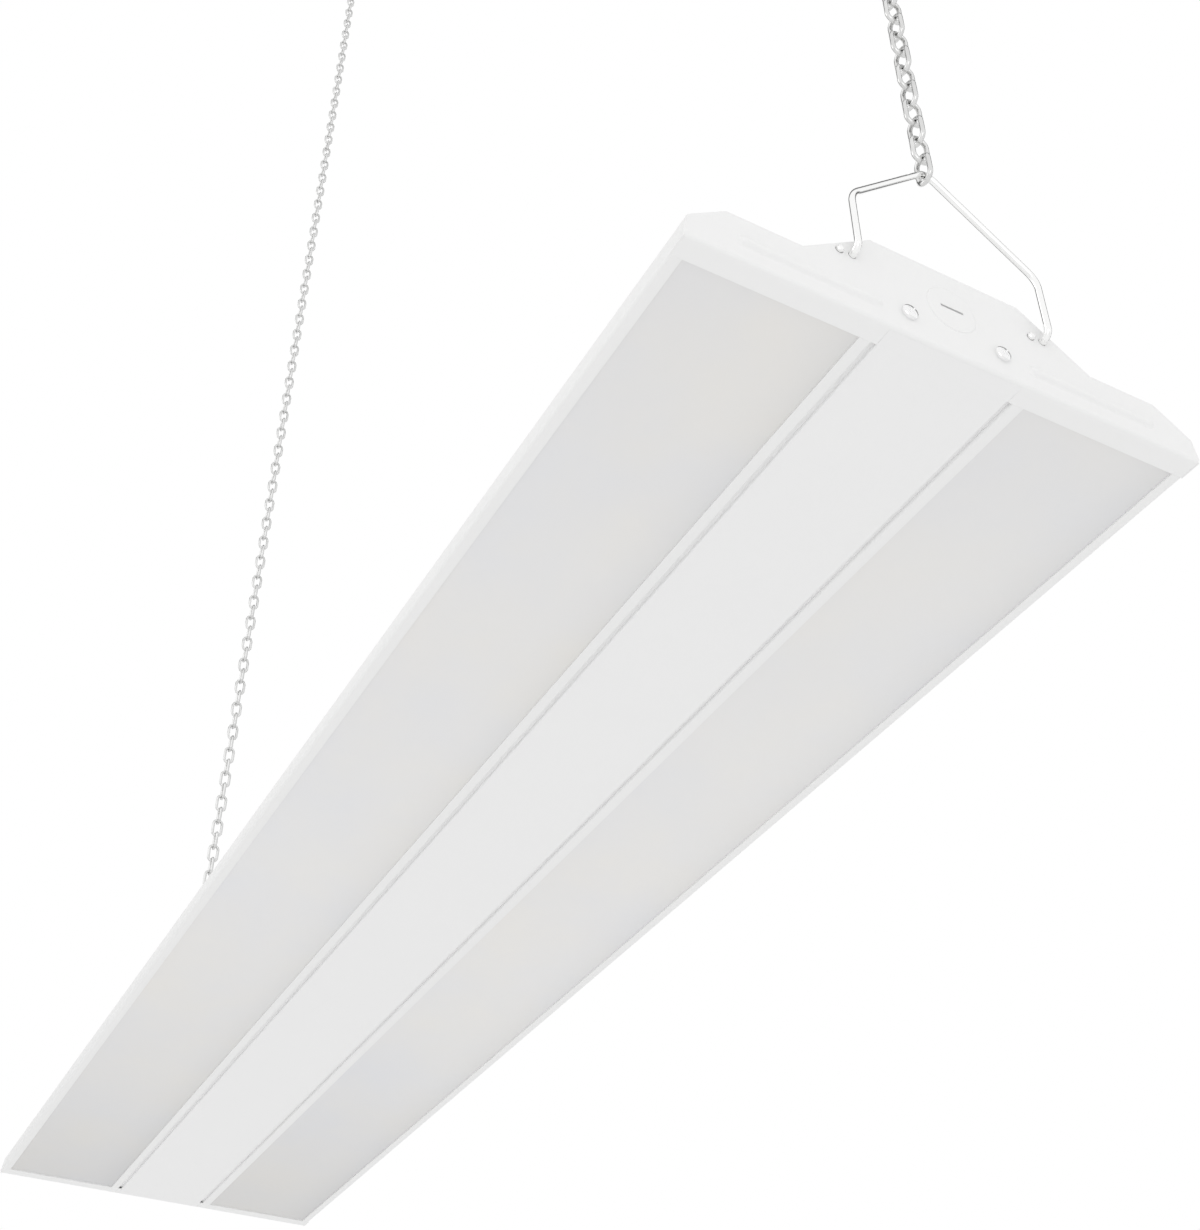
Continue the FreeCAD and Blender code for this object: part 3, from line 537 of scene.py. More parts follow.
# %% Diffusers
def diffuser_panel(low, high, sag=0.0003):
    """A panel as two grids, upper and lower, joined round the edge; the sag is a half sine along X
    times a half sine across, so it is zero at the rims that carry it."""
    u, v = np.linspace(0, 1, 49), np.linspace(0, 1, 13)
    x = low[0] + (high[0] - low[0]) * u[:, None] + 0 * v
    y = low[1] + (high[1] - low[1]) * v + 0 * u[:, None]
    drop = sag * np.sin(math.pi * u)[:, None] * np.sin(math.pi * v)
    sheets = [np.stack([x, y, z - drop], axis=-1).reshape(-1, 3) for z in (low[2], high[2])]
    rows, columns = len(u), len(v)
    index = np.arange(rows * columns).reshape(rows, columns)
    edge = np.concatenate([index[0], index[1:, -1], index[-1, -2::-1], index[-2:0:-1, 0]])
    over = rows * columns
    rim = np.stack([edge, np.roll(edge, -1), np.roll(edge, -1) + over, edge + over], axis=1)
    cells = grid_cells(rows, columns)
    return np.concatenate(sheets), np.concatenate([cells, cells + over, rim])


def ease(piece, name, width, angle):
    """Bevels the edges that turn by more than an angle."""
    bevel = piece.modifiers.new(name, "BEVEL")
    bevel.width, bevel.segments = width, 2
    bevel.limit_method, bevel.angle_limit = "ANGLE", angle


for name in ("right", "left"):
    low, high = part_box(f"{name}_lens")
    panel = new_piece(f"{name}_diffuser_panel", *diffuser_panel(low, high))
    ease(panel, "eased_edges", width=0.0002, angle=1.0)
    dress(panel, "housing", f"{name}_lens", frosts_and_painted_shade[name])

# %% [markdown]
# The end plate is the face that the eye goes to: one stepped plate whose foot is rolled over into
# a lip, with two beads pressed outwards. It is a grid whose rows follow the profile, first along
# the lip, then round the fold, then up the face, and whose columns spread over the width at that
# height. The beads are a height added to the face, so their round edges come out of the formula.


# %% End plate's formulas
FOLD = 0.0020
LIP_HALF = HALF_WIDTH - SHEET - SEAM
BEAD_HEIGHT, BEAD_RADIUS, BEAD_RISE = 0.0125, 0.0032, 0.0018
BEAD_INNER, BEAD_OUTER, BEAD_FOOT, BEAD_FLANK = 0.0415, 0.118, 0.0004, 0.0025
BEAD_ENDS = (BEAD_INNER + BEAD_RADIUS, BEAD_OUTER - BEAD_RADIUS)
BAND_LOW, BAND_HIGH = 0.0085, 0.0165
STEP_SHARE = STEP_FOOT / WING_HALF


def smooth(value):
    """Zero below 0, one above 1, and an S-curve between: 3 v v - 2 v v v."""
    value = np.clip(value, 0, 1)
    return value * value * (3 - 2 * value)


def half_width_at(h):
    """Half the plate's width at a height: read off the stepped outline's lower corners."""
    return np.interp(h, [0, SIDE_H, WING_H], [HALF_WIDTH, HALF_WIDTH - SIDE_LEAN, WING_HALF])


def bead_rise(y, h):
    """Height of a bead: rise x smooth((radius + foot - distance) / flank). The distance is to the
    straight middle line between the centres of the bead's two round ends."""
    along = np.clip(np.abs(y), *BEAD_ENDS)
    away = np.hypot(np.abs(y) - along, h - BEAD_HEIGHT)
    return BEAD_RISE * smooth((BEAD_RADIUS + BEAD_FOOT - away) / BEAD_FLANK)


def stations(*marks):
    """Points between marks given as (place, steps to the next mark), mirrored to both sides."""
    runs = [np.linspace(a, b, n + 1) for (a, n), (b, _) in zip(marks, marks[1:])]
    right = np.unique(np.round(np.concatenate(runs), 7))
    return np.unique(np.concatenate([-right, right]))


toe_share = (COVER_EDGE + SEAM) / LIP_HALF
across = stations(
    (0, 8), (toe_share, 1), (toe_share + 0.0006, 2), (0.284, 10), (0.318, 18),
    (STEP_SHARE, 7), (0.785, 14), (0.83, 8), (1.0, 0),
)
print("end plate columns", len(across))


# %% End plate's surface
def end_plate_surface():
    """Lower grid from the lip's edge to the wings' tops, upper grid from there to the centre's
    top. Place = (profile x, share x half width, height); both share the columns of their seam.
    Rows are closest in the band of heights where the beads are."""
    lip = np.linspace(0, 1, 4)[:-1]
    angle = np.linspace(0, math.pi / 2, 9)
    rise = np.unique(np.concatenate([
        np.linspace(FOLD, BAND_LOW, 4), np.linspace(BAND_LOW, BAND_HIGH, 21),
        np.linspace(BAND_HIGH, WING_H, 6),
    ]))[1:]
    h = np.concatenate([0 * lip, FOLD - FOLD * np.cos(angle), rise])[:, None]
    share = across[None, :]
    full = half_width_at(h)
    width = np.where(h < FOLD, LIP_HALF + (full - LIP_HALF) * h / FOLD, full)
    y = share * width
    toe = np.where(np.abs(share) < toe_share + 0.0003, TOE_END, LIP_END)
    fold_x = HALF_LENGTH - FOLD + FOLD * np.sin(angle)
    face = len(lip) + len(angle)
    x = np.concatenate([
        toe + (HALF_LENGTH - FOLD - toe) * lip[:, None],
        fold_x[:, None] + 0 * share,
        HALF_LENGTH + bead_rise(y[face:], h[face:]),
    ])
    lower = np.stack([x, y, UNDERSIDE + h + 0 * y], axis=-1)
    inner = across[np.abs(across) <= STEP_SHARE + 1e-6] / STEP_SHARE
    up = np.linspace(WING_H, HEIGHT, 12)[:, None]
    wide = np.interp(up, [WING_H, HEIGHT], [STEP_FOOT, TOP_HALF])
    flat = 0 * inner * up
    upper = np.stack([flat + HALF_LENGTH, inner * wide, UNDERSIDE + up + flat], axis=-1)
    return joined([(g.reshape(-1, 3), grid_cells(*g.shape[:2])) for g in (lower, upper)])


# %% [markdown]
# Seven holes of four sizes go through each plate. Round bars, joined in one mesh, are taken away
# from the thickened plate in a single Boolean, which is then applied. A fine bevel on what is
# left catches the light as a sheared edge does.


# %% Holes through the end plate
def round_bar(centre, radius, half_length, sides=56):
    """A bar along X: two circles and the cells between them, closed by one face at each end."""
    angle = np.linspace(0, 2 * math.pi, sides, endpoint=False)
    ring = np.column_stack([0 * angle, radius * np.cos(angle), radius * np.sin(angle)])
    points = np.concatenate([ring + centre + [x, 0, 0] for x in (-half_length, half_length)])
    return points, grid_cells(2, sides, wrap_columns=True), sides


HOOK_Y, PEG_H, HOOK_WIRE, TIP_PITCH = 0.055, 0.038, 0.0038, 0.0070
KNOCKOUT_H, KNOCKOUT_R = 0.031, 0.014
SCREW_Y, SCREW_H = 0.0265, 0.0144
HOOK_HOLE_R, TIP_HOLE_R, SCREW_HOLE_R = 0.0021, 0.00215, 0.00215
CUT_INSET, CUT_HALF = 0.002, 0.006
HOLES = [(side * HOOK_Y, PEG_H, HOOK_HOLE_R) for side in (-1, 1)]
HOLES += [(side * HOOK_Y - TIP_PITCH, PEG_H, TIP_HOLE_R) for side in (-1, 1)]
HOLES += [(side * SCREW_Y, SCREW_H, SCREW_HOLE_R) for side in (-1, 1)]
HOLES += [(0.0, KNOCKOUT_H, KNOCKOUT_R)]


def cutter(holes, sign):
    """All the round bars of one end as one object."""
    mesh = bpy.data.meshes.new("hole_cutter")
    points, faces, start = [], [], 0
    for y, h, radius in holes:
        bar, cells, sides = round_bar(at(HALF_LENGTH - CUT_INSET, y, h), radius, CUT_HALF)
        points.append(bar)
        faces += (cells + start).tolist()
        ends = np.arange(start, start + 2 * sides).reshape(2, sides).tolist()
        faces += [ends[0][::-1], ends[1]]
        start += len(bar)
    places = np.concatenate(points)
    mesh.from_pydata((places if sign > 0 else turned(places)).tolist(), [], faces)
    work = bmesh.new()
    work.from_mesh(mesh)
    bmesh.ops.recalc_face_normals(work, faces=work.faces)
    work.to_mesh(mesh)
    work.free()
    tool = bpy.data.objects.new("hole_cutter", mesh)
    bpy.context.scene.collection.objects.link(tool)
    return tool


def applied(piece):
    """Replaces a piece's mesh by what its modifiers make of it."""
    seen = piece.evaluated_get(bpy.context.evaluated_depsgraph_get())
    mesh = bpy.data.meshes.new_from_object(seen)
    piece.modifiers.clear()
    piece.data = mesh


def cut_away(piece, tool):
    """Takes a tool's volume away from a piece and forgets the tool."""
    cut = piece.modifiers.new("cut", "BOOLEAN")
    cut.operation, cut.solver, cut.object = "DIFFERENCE", "EXACT", tool
    applied(piece)
    bpy.data.objects.remove(tool)
    piece.data.shade_smooth()
    piece.data.set_sharp_from_angle(angle=SHARP_ANGLE)


# %% Both end plates
plate_points, plate_cells = end_plate_surface()
for sign, name in ((1, "near"), (-1, "far")):
    places = plate_points if sign > 0 else turned(plate_points)
    plate = new_piece(f"{name}_end_cap", places, plate_cells, closed=False)
    wall = plate.modifiers.new("sheet", "SOLIDIFY")
    wall.thickness, wall.offset, wall.use_even_offset = SHEET, -1, True
    applied(plate)
    cut_away(plate, cutter(HOLES, sign))
    ease(plate, "sheared_edge", width=0.00005, angle=1.2)
    dress(plate, "housing", f"{name}_end_plate", plate_white)

# %% [markdown]
# The knockout is the disc left standing in its sheared ring, with a slot for a screwdriver. It is
# a profile turned about the disc's axis, with an eased rim, a touch in front of the plate's face,
# where the punch left it; the slot is cut by a flat bar.


# %% Turned shapes
def turned_profile(profile, centre, axis, sides):
    """A profile of (radius, height) pairs turned about an axis through the centre: place = centre +
    height x axis + radius x (cos angle x first + sin angle x second)."""
    axis = unit(np.asarray(axis, float))
    first = unit(np.cross(axis, [0.3, 0.9, 0.4]))
    second = np.cross(axis, first)
    angle = np.linspace(0, 2 * math.pi, sides, endpoint=False)[None, :, None]
    profile = np.asarray(profile, float)
    radius, height = profile[:, 0][:, None, None], profile[:, 1][:, None, None]
    places = centre + height * axis + radius * (np.cos(angle) * first + np.sin(angle) * second)
    return places.reshape(-1, 3), grid_cells(len(profile), sides, wrap_columns=True)


def slot_bar(centre, size):
    """A rectangular bar as a cutting tool."""
    size = np.asarray(size)
    points, cells = slab(centre - size / 2, centre + size / 2)
    return new_piece("slot_cutter", points, cells)


# %% Knockout discs
DISC_R, DISC_EDGE, DISC_FACE = KNOCKOUT_R - HAIR, 0.0012, 0.0005
SLOT_SIZE = (0.006, 0.013, 0.0014)
turn = np.linspace(0, math.pi / 2, 7)
back = [(0, -SHEET), (DISC_R, -SHEET)]
rim = np.column_stack([DISC_R - DISC_EDGE * (1 - np.cos(turn)), DISC_FACE * np.sin(turn)])
front = [(DISC_R * 0.6, DISC_FACE), (0, DISC_FACE)]
disc_centre = at(HALF_LENGTH, 0, KNOCKOUT_H)
disc_profile = np.concatenate([back, rim, front])
disc_points, disc_cells = turned_profile(disc_profile, disc_centre, (1, 0, 0), 96)
for sign, name in ((1, "near"), (-1, "far")):
    places = disc_points if sign > 0 else turned(disc_points)
    slot_at = disc_centre if sign > 0 else turned(disc_centre)
    disc = new_piece(f"{name}_knockout_disc", places, disc_cells)
    cut_away(disc, slot_bar(slot_at, SLOT_SIZE))
    dress(disc, "housing", f"{name}_knockout", plate_white)

# %% [markdown]
# Wire is a circle carried along a path. The circle stands square to the path, and is kept from
# twisting by building its two axes from one fixed slanted direction that the path never follows.
# The ends are closed with a small chamfer, as cropped wire has.


# %% Wire along a path
def wire_surface(path, radius, sides=20, closed=False, chamfer=0.25, lean=(1.0, 1.0, 1.0)):
    """place = path + radius x (cos angle x first + sin angle x second), where first is square to
    the path and to the fixed direction, and second to the path and to first."""
    ahead = path_directions(path, closed)
    scale = np.ones(len(path))
    if not closed:
        nose = radius * chamfer
        path = np.concatenate([
            path[:1], path[:1], path[:1] + ahead[:1] * nose, path[1:-1],
            path[-1:] - ahead[-1:] * nose, path[-1:], path[-1:],
        ])
        ahead = np.concatenate([ahead[:1], ahead[:1], ahead, ahead[-1:], ahead[-1:]])
        scale = np.ones(len(path))
        scale[[0, -1]], scale[[1, -2]] = 0.0, 1 - chamfer
    first = unit(np.cross(ahead, lean))
    second = np.cross(ahead, first)
    angle = np.linspace(0, 2 * math.pi, sides, endpoint=False)[None, :, None]
    ring = np.cos(angle) * first[:, None] + np.sin(angle) * second[:, None]
    places = path[:, None] + radius * scale[:, None, None] * ring
    return places.reshape(-1, 3), grid_cells(len(path), sides, closed, True)


# %% [markdown]
# The V-hook is one bent wire. From each turned tip it runs behind the plate, out through the hook
# hole, up the face, over a shoulder and to the apex, where the lowest link hangs. Its corners
# repeat the drawing's, with more steps in each bend.


# %% V-hooks
LEG_GAP, PEG_DEPTH, TIP_PROUD = 0.0034, 0.0022, 0.0016
LEG_X = HALF_LENGTH + LEG_GAP + HOOK_WIRE / 2
SHOULDER_H, APEX_H = 0.077, 0.131
APEX_BEND, SHOULDER_BEND, LEG_BEND, TIP_BEND = 0.0065, 0.016, 0.0044, TIP_PITCH / 2 - 1e-6
rise = 0.0
for _ in range(40):
    slope = math.atan2(APEX_H + rise - SHOULDER_H, math.hypot(HOOK_Y, LEG_X - PIVOT_X))
    rise = APEX_BEND * (1 / math.cos(slope) - 1)
inner_x = PAN_END - PEG_DEPTH - TIP_PITCH / 2
tip_x = HALF_LENGTH + TIP_PROUD
hook_corners = np.array([
    at(tip_x, HOOK_Y - TIP_PITCH, PEG_H), at(inner_x, HOOK_Y - TIP_PITCH, PEG_H),
    at(inner_x, HOOK_Y, PEG_H), at(LEG_X, HOOK_Y, PEG_H), at(LEG_X, HOOK_Y, SHOULDER_H),
    at(PIVOT_X, 0, APEX_H + rise),
    at(LEG_X, -HOOK_Y, SHOULDER_H), at(LEG_X, -HOOK_Y, PEG_H), at(inner_x, -HOOK_Y, PEG_H),
    at(inner_x, -HOOK_Y - TIP_PITCH, PEG_H), at(tip_x, -HOOK_Y - TIP_PITCH, PEG_H),
])
half_bends = [TIP_BEND, TIP_BEND, LEG_BEND, SHOULDER_BEND]
hook_path = rounded_path(hook_corners, half_bends + [APEX_BEND] + half_bends[::-1], 12)
hook_points, hook_cells = wire_surface(hook_path, HOOK_WIRE / 2, 24)
hook_length = np.linalg.norm(np.diff(hook_path, axis=0), axis=1).sum()
print("V-hook wire length", round(float(hook_length), 4), "m")
for sign, name in ((1, "near"), (-1, "far")):
    places = hook_points if sign > 0 else turned(hook_points)
    hook = new_piece(f"{name}_v_hook_wire", places, hook_cells)
    dress(hook, f"{name}_chain", f"{name}_v_hook", hook_nickel)

# %% [markdown]
# A welded link is the same wire on a closed path, two straights and two half circles. Its formula
# gives one link as an array; adding an array of centres to it gives the whole chain at once, with
# every second link turned a quarter. Links near the light are seen close, so they get fine rings
# and a faint swelling where they were welded; those above them are plain. All are shaded smooth,
# so that even six sides look round.


# %% Chain links
LINK_WIRE, LINK_INNER_LENGTH, LINK_INNER_WIDTH, LINK_PITCH = 0.0028, 0.016, 0.0064, 0.0157
LINK_COUNT, FINE_RUN = 122, 22
LINK_SHARP_ANGLE = math.radians(100)
WELD_LENGTH = 0.0011
low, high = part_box("near_bottom_link")
FIRST_LINK_H = (low.z + high.z) / 2 - UNDERSIDE


def link_surface(arc_steps, straight_steps, sides, weld=0.0):
    """A stadium in XZ: half circles of the bend's radius about two centres, joined by straights.
    The wire swells at the middle of one straight by weld x exp(-(height / weld's length)^2)."""
    bend = (LINK_INNER_WIDTH + LINK_WIRE) / 2
    half = (LINK_INNER_LENGTH - LINK_INNER_WIDTH) / 2
    angle = np.linspace(0, math.pi, arc_steps + 1)
    top = np.column_stack([bend * np.cos(angle), 0 * angle, half + bend * np.sin(angle)])
    side = np.linspace(half, -half, straight_steps + 1)[1:-1, None] * [0, 0, 1] - [bend, 0, 0]
    path = np.concatenate([top, side, -top, -side])
    swell = weld * np.exp(-((path[:, 2] / WELD_LENGTH) ** 2)) * (path[:, 0] > 0)
    radius = LINK_WIRE / 2 * (1 + swell)
    places, cells = wire_surface(path, 1.0, sides, closed=True, lean=(0.0, 1.0, 0.0))
    centres = np.repeat(path, sides, axis=0)
    return centres + (places - centres) * np.repeat(radius, sides)[:, None], cells


def links(indices, surface):
    """Many links from one: turned a quarter where the index is odd, then moved to their heights."""
    points, cells = surface
    indices = np.asarray(indices)
    quarter = points[:, [1, 0, 2]] * [-1, 1, 1]
    shapes = np.where((indices % 2)[:, None, None] == 1, quarter, points)
    centres = np.stack([at(PIVOT_X, 0, FIRST_LINK_H + i * LINK_PITCH) for i in indices])
    places = (shapes + centres[:, None]).reshape(-1, 3)
    shift = np.arange(len(indices))[:, None, None] * len(points)
    return places, (cells + shift).reshape(-1, 4)


fine_link = link_surface(10, 3, 14, 0.05)
plain_link = link_surface(4, 1, 6)
print("faces in a fine link", len(fine_link[1]), "and in a plain one", len(plain_link[1]))

# %% Both chains
fine_links = links(range(2, 2 + FINE_RUN), fine_link)
plain_links = links(range(2 + FINE_RUN, LINK_COUNT - 1), plain_link)
link_groups = {
    "bottom_link": ("chain", links([0], fine_link)),
    "second_link": ("chain", links([1], fine_link)),
    "chain": ("chain", joined([fine_links, plain_links])),
    "top_link": ("top_link", links([LINK_COUNT - 1], fine_link)),
}
for sign, end in ((1, "near"), (-1, "far")):
    for node, (body, (places, cells)) in link_groups.items():
        places = places if sign > 0 else turned(places)
        piece = new_piece(f"{end}_{node}_wire", places, cells)
        piece.data.set_sharp_from_angle(angle=LINK_SHARP_ANGLE)
        dress(piece, f"{end}_{body}", f"{end}_{node}", chain_nickel)

# %% [markdown]
# Each ceiling hook is bent wire under a small flange, with a wood-screw shank above. The thread
# is a height on a cylinder: the radius depends on the height less the share of a turn, so the
# ridge climbs one pitch for every turn, and it fades into the point.


# %% Ceiling hooks
FLANGE_T, NECK, NECK_BEND, CEILING_WIRE = 0.002, 0.011, 0.005, 0.0044
FLARE, SIDE_RUN, BOWL, TIP_RUN = 0.008, 0.008, 0.0095, 0.0068
SEAT_Z = -(FLANGE_T + NECK + FLARE + SIDE_RUN + BOWL)


def threaded_shank(radius, length, point, pitch=0.0022, ridge=0.0007):
    """Radius = core + ridge x (triangle wave of height / pitch - angle / full turn), narrowed to
    the point at the top and to the plain core near the flange."""
    rows, sides = 150, 28
    height = np.linspace(0, length, rows)[:, None]
    angle = np.linspace(0, 2 * math.pi, sides, endpoint=False)[None, :]
    wave = 1 - 2 * np.abs((height / pitch - angle / (2 * math.pi)) % 1 - 0.5)
    start = smooth((height - 0.002) / 0.003)
    core = np.clip((length - height) / point, 0, 1) * 0.9 + 0.1 * (height < length)
    size = (radius - ridge + ridge * wave * start + (1 - start) * ridge * 0.6) * np.minimum(core, 1)
    x, y = PIVOT_X + size * np.cos(angle), size * np.sin(angle)
    grid = np.stack([x, y, height + 0 * angle], axis=-1).reshape(-1, 3)
    base, tip = np.array([[PIVOT_X, 0, 0]]), np.array([[PIVOT_X, 0, length]])
    places = np.concatenate([np.repeat(base, sides, 0), grid, np.repeat(tip, sides, 0)])
    return places, grid_cells(rows + 2, sides, wrap_columns=True)


hook_line = np.array([
    (PIVOT_X, 0, -FLANGE_T * 0.6), (PIVOT_X, 0, -FLANGE_T - NECK),
    (PIVOT_X - BOWL, 0, -FLANGE_T - NECK - FLARE), (PIVOT_X - BOWL, 0, SEAT_Z),
    (PIVOT_X + BOWL, 0, SEAT_Z), (PIVOT_X + BOWL, 0, SEAT_Z + BOWL + TIP_RUN),
])
bowl_bend = BOWL - 1e-6
ceiling_path = rounded_path(hook_line, [NECK_BEND, NECK_BEND, bowl_bend, bowl_bend], 16)
flange = [
    (0, 0), (0.0098, 0), (0.01, -0.0002), (0.01, -0.0012), (0.0094, -0.0018),
    (0.008, -FLANGE_T), (0, -FLANGE_T),
]
for sign, name in ((1, "near"), (-1, "far")):
    parts = [
        wire_surface(ceiling_path, CEILING_WIRE / 2, 22, chamfer=0.5),
        turned_profile(flange, np.array([PIVOT_X, 0, 0]), (0, 0, 1), 48),
        threaded_shank(radius=0.0025, length=0.03, point=0.005),
    ]
    places, cells = joined(parts)
    places = places if sign > 0 else turned(places)
    hook = new_piece(f"{name}_ceiling_hook_wire", places, cells)
    dress(hook, "root", f"{name}_ceiling_hook", hook_zinc)

# %% [markdown]
# The end screws have a low domed head with a cross recess. The head is a height over a disc: the
# dome's own height, less the recess wherever the place lies within either arm of the cross. Polar
# rings keep the rim round, and the recess walls slope a little, as a driver leaves them.


# %% Screw heads
def screw_surface(head=0.0043, tall=0.0026, reach=0.009, thread=0.002):
    """Height = rim + crown x square root of (1 - share squared), less the recess, over a disc;
    the shank below is a plain bar. The screw stands on the origin and looks along +Z."""
    sides, lip, edge = 96, tall * 0.45, 0.0001
    share = np.concatenate([np.linspace(0, 0.94, 26), [0.97, 0.99, 1.0]])[:, None]
    angle = np.linspace(0, 2 * math.pi, sides, endpoint=False)[None, :]
    u, v = head * share * np.cos(angle), head * share * np.sin(angle)
    first, second = (u + v) / math.sqrt(2), (u - v) / math.sqrt(2)
    arm, blade, wall = head * 0.55, head * 0.13, head * 0.06
    slot_a = smooth((arm - np.abs(first)) / wall) * smooth((blade - np.abs(second)) / wall)
    slot_b = smooth((arm - np.abs(second)) / wall) * smooth((blade - np.abs(first)) / wall)
    dome = lip + (tall - lip) * np.sqrt(1 - share ** 2)
    height = dome - tall * 0.2 * np.maximum(slot_a, slot_b)
    crown = np.stack([u, v, height], axis=-1).reshape(-1, 3)
    rim = [(head, lip), (head, edge), (head - edge, 0), (thread, 0), (thread, -reach), (0, -reach)]
    radius, low = np.array(rim).T[:, :, None]
    skirt = np.stack([radius * np.cos(angle), radius * np.sin(angle), low + 0 * angle], axis=-1)
    points, cells = joined([
        (places, grid_cells(len(places) // sides, sides, wrap_columns=True))
        for places in (crown, skirt.reshape(-1, 3))
    ])
    return points, np.concatenate(cells)


screw_points, screw_cells = screw_surface()
for sign, name in ((1, "near"), (-1, "far")):
    parts = []
    for side in (-1, 1):
        along_x = screw_points[:, [2, 0, 1]] + at(HALF_LENGTH, side * SCREW_Y, SCREW_H)
        parts.append((along_x, screw_cells))
    places, cells = joined(parts)
    places = places if sign > 0 else turned(places)
    screws = new_piece(f"{name}_end_screw_pair", places, cells)
    dress(screws, "housing", f"{name}_end_screws", screw_zinc)

# %% [markdown]
# What lies inside or on top keeps its solids: they are small, plain pieces in reality too. Each
# gets the finish of its own stuff. A moulded plastic drifts a little in tone and has a fine satin
# grain; a rubber is darker and duller; the light packages are yellow over a white base.


# %% Finishes of the inner pieces
def moulded(name, light, shade, roughness, grain=900.0, depth=0.00004):
    """Moulded plastic or rubber: tone that drifts and a fine grain."""
    made = finish(name)
    drift = made.noise(35.0, 2.0)
    skin = made.noise(grain, 2.0)
    made.fill(made.shader, {
        "Base Color": made.between((drift * 1.8 - 0.4).clipped(), shade, light),
        "Roughness": (skin - 0.5) * 0.15 + roughness,
        "Normal": made.bump(skin, depth, 0.5),
    })
    return made.owner


inner_finishes = {
    "driver": powder_white("driver_case_white", (0.82, 0.82, 0.81), (0.78, 0.78, 0.77), 0.5),
    "terminal_block": moulded("terminal_nylon", (0.78, 0.77, 0.72), (0.72, 0.71, 0.66), 0.5),
    "ground_screw": plated("ground_screw_green", (0.05, 0.38, 0.14), (0.03, 0.3, 0.1), 0.35),
    "board_screws": screw_zinc,
    "driver_screws": screw_zinc,
    "tray_rivets": rivet_plain,
    "supply_leads": moulded("supply_lead_sleeve", (0.09, 0.09, 0.1), (0.06, 0.06, 0.07), 0.45),
}
side_finishes = {
    "boards": moulded(
        "board_white_mask", (0.88, 0.88, 0.86), (0.84, 0.84, 0.82), 0.4, 1500.0, 0.00002
    ),
    "leds": moulded("light_package_yellow", (0.92, 0.8, 0.36), (0.88, 0.74, 0.3), 0.45),
    "output_lead": moulded("output_lead_sleeve", (0.1, 0.1, 0.11), (0.07, 0.07, 0.08), 0.45),
    "plug": moulded("plug_nylon", (0.88, 0.87, 0.83), (0.83, 0.82, 0.78), 0.5),
    "grommet": moulded("grommet_rubber", (0.06, 0.06, 0.06), (0.04, 0.04, 0.04), 0.7),
}
for side in ("left", "right"):
    inner_finishes.update({f"{side}_{node}": made for node, made in side_finishes.items()})
for node, made in inner_finishes.items():
    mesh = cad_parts[node].data
    mesh.materials.clear()
    mesh.materials.append(made)
print("solids kept with a finish:", len(inner_finishes))

# %% [markdown]
# The stage is a wide pale floor well below the light. It is seen from above only: from underneath
# its shader lets the view through, so that a camera that goes below it still sees the light.


# %% Floor
def floor_sheet(size, z):
    """A square grid at one height."""
    share = np.linspace(-size / 2, size / 2, 5)
    x, y = np.meshgrid(share, share)
    points = np.column_stack([x.ravel(), y.ravel(), np.full(x.size, z)])
    return new_piece("studio_floor", points, grid_cells(5, 5), closed=False)


FLOOR_SIZE, FLOOR_DROP = 110.0, 1.25
floor = floor_sheet(FLOOR_SIZE, UNDERSIDE - FLOOR_DROP)
pale = finish("floor_pale", {"Base Color": (0.92, 0.92, 0.92, 1.0), "Roughness": 0.8})
under = pale.add("ShaderNodeNewGeometry", output="Backfacing")
clear = pale.add("ShaderNodeBsdfTransparent")
surface = Value(pale, pale.shader.outputs[0])
shown = pale.add("ShaderNodeMixShader", None, {0: under, 1: surface, 2: clear})
pale.tree.links.new(shown.socket, pale.tree.nodes["Material Output"].inputs["Surface"])
floor.data.materials.append(pale.owner)
print("floor at", round(UNDERSIDE - FLOOR_DROP, 3))

# %% [markdown]
# The light is a plain white room. The world lights every face evenly and shows as white behind
# the object. For mirror-like rays only, a soft grey ring stands round the line of sight, as the
# dark cards of a photo studio do, and it draws the thin dark lines along the edges of bright
# wire.

# %% World
FORWARD = np.array([-0.6837, 0.3737, 0.6268])
RING_MIDDLE, RING_HALF, RING_DARK = 0.64, 0.18, 0.95
PLAIN_LEVEL = 0.96
world = bpy.data.worlds.new("white_room")
bpy.context.scene.world = world
room = Finish(world)
back = room.tree.nodes["Background"]
seen = room.add("ShaderNodeLightPath", output="Is Camera Ray")
path_node = seen.socket.node
glossy = Value(room, path_node.outputs["Is Glossy Ray"])
through = Value(room, path_node.outputs["Is Transmission Ray"])
direction = room.add("ShaderNodeTexCoord", output="Generated")
values = {0: direction, 1: tuple(FORWARD)}
ahead = room.add("ShaderNodeVectorMath", {"operation": "DOT_PRODUCT"}, values, output="Value")
ring = (1.0 - ((ahead - RING_MIDDLE) / RING_HALF) ** 2.0).clipped()
mirror_level = 1.0 - RING_DARK * ring
plain = (1.0 - seen - glossy - through).clipped()
strength = seen + through + glossy * mirror_level + plain * PLAIN_LEVEL
room.fill(back, {"Color": (1.0, 1.0, 1.0, 1.0), "Strength": strength})
print("world ready")

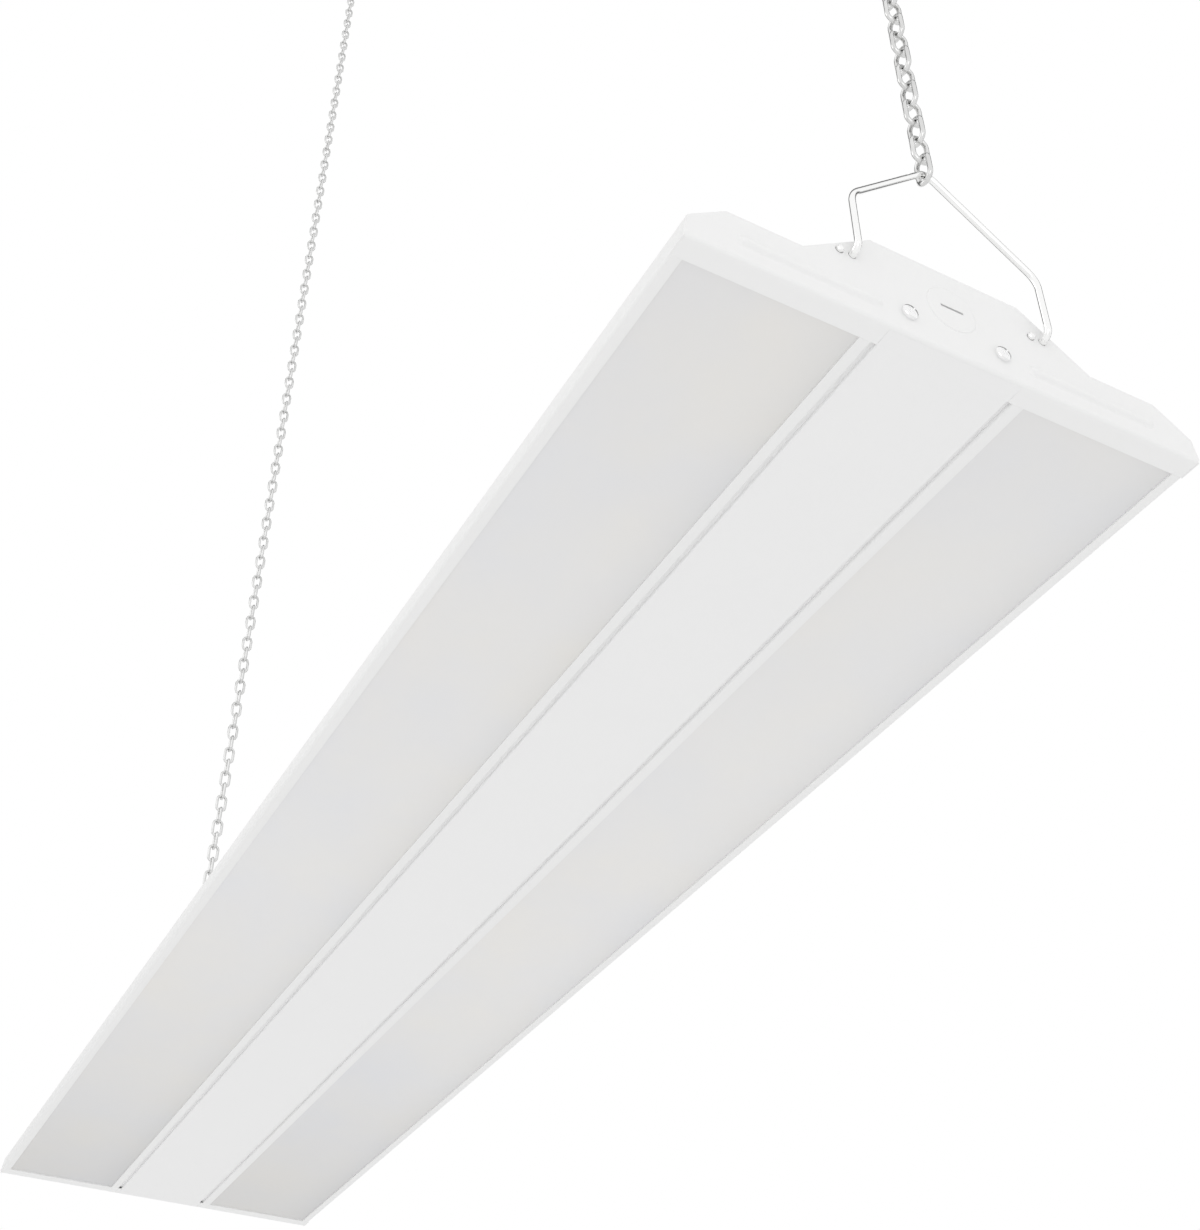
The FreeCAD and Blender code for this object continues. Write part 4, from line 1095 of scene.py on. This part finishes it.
# %% [markdown]
# Two large soft lamps give the faces a little shape: one from in front of the near end, the other
# from high on the left. They are wide, so their shadows are soft.


# %% Lamps
def soft_lamp(name, place, target, size, power):
    """A square area lamp at a place, facing a target."""
    data = bpy.data.lights.new(name, "AREA")
    data.shape, data.size, data.energy = "SQUARE", size, power
    lamp = bpy.data.objects.new(name, data)
    place, target = np.asarray(place, float), np.asarray(target, float)
    aim = unit(target - place)
    side = unit(np.cross(aim, [0, 0, 1]))
    up = np.cross(side, aim)
    turn = np.eye(4)
    turn[:3, 0], turn[:3, 1], turn[:3, 2], turn[:3, 3] = side, up, -aim, place
    lamp.matrix_world = Matrix(turn.tolist())
    bpy.context.scene.collection.objects.link(lamp)
    lamp.visible_camera = False


middle = at(0, 0, 0.03)
soft_lamp("front_lamp", middle + [3.2, -1.2, -0.2], middle + [0.4, 0, 0], 1.8, 6.0)
soft_lamp("left_lamp", middle + [-0.4, -2.6, 1.6], middle, 2.0, 7.0)
print("lamps ready")

# %% [markdown]
# The camera stands below the near end and looks up along the light. Its place and direction were
# solved from the housing's corners, and its lens is set for a frame of 1200 x 1230, whose long
# side is the height.

# %% Camera
SENSOR, FOCAL_PIXELS, FRAME_PIXELS = 36.0, 1714.4, 1230
camera_data = bpy.data.cameras.new("camera")
camera_data.sensor_width = SENSOR
camera_data.lens = FOCAL_PIXELS / FRAME_PIXELS * SENSOR
camera_data.clip_start, camera_data.clip_end = 0.05, 120.0
camera = bpy.data.objects.new("camera", camera_data)
right = np.array([0.4786, 0.878, -0.0014])
down = np.array([-0.5509, 0.299, -0.7792])
pose = np.eye(4)
pose[:3, 0], pose[:3, 1], pose[:3, 2] = right, -down, -FORWARD
pose[:3, 3] = at(0.9865, -0.3967, -0.5754)
camera.matrix_world = Matrix(pose.tolist())
bpy.context.scene.collection.objects.link(camera)
bpy.context.scene.camera = camera
bpy.context.scene.view_settings.view_transform = "Standard"
print("lens", round(camera_data.lens, 2), "mm at", [round(float(v), 3) for v in pose[:3, 3]])
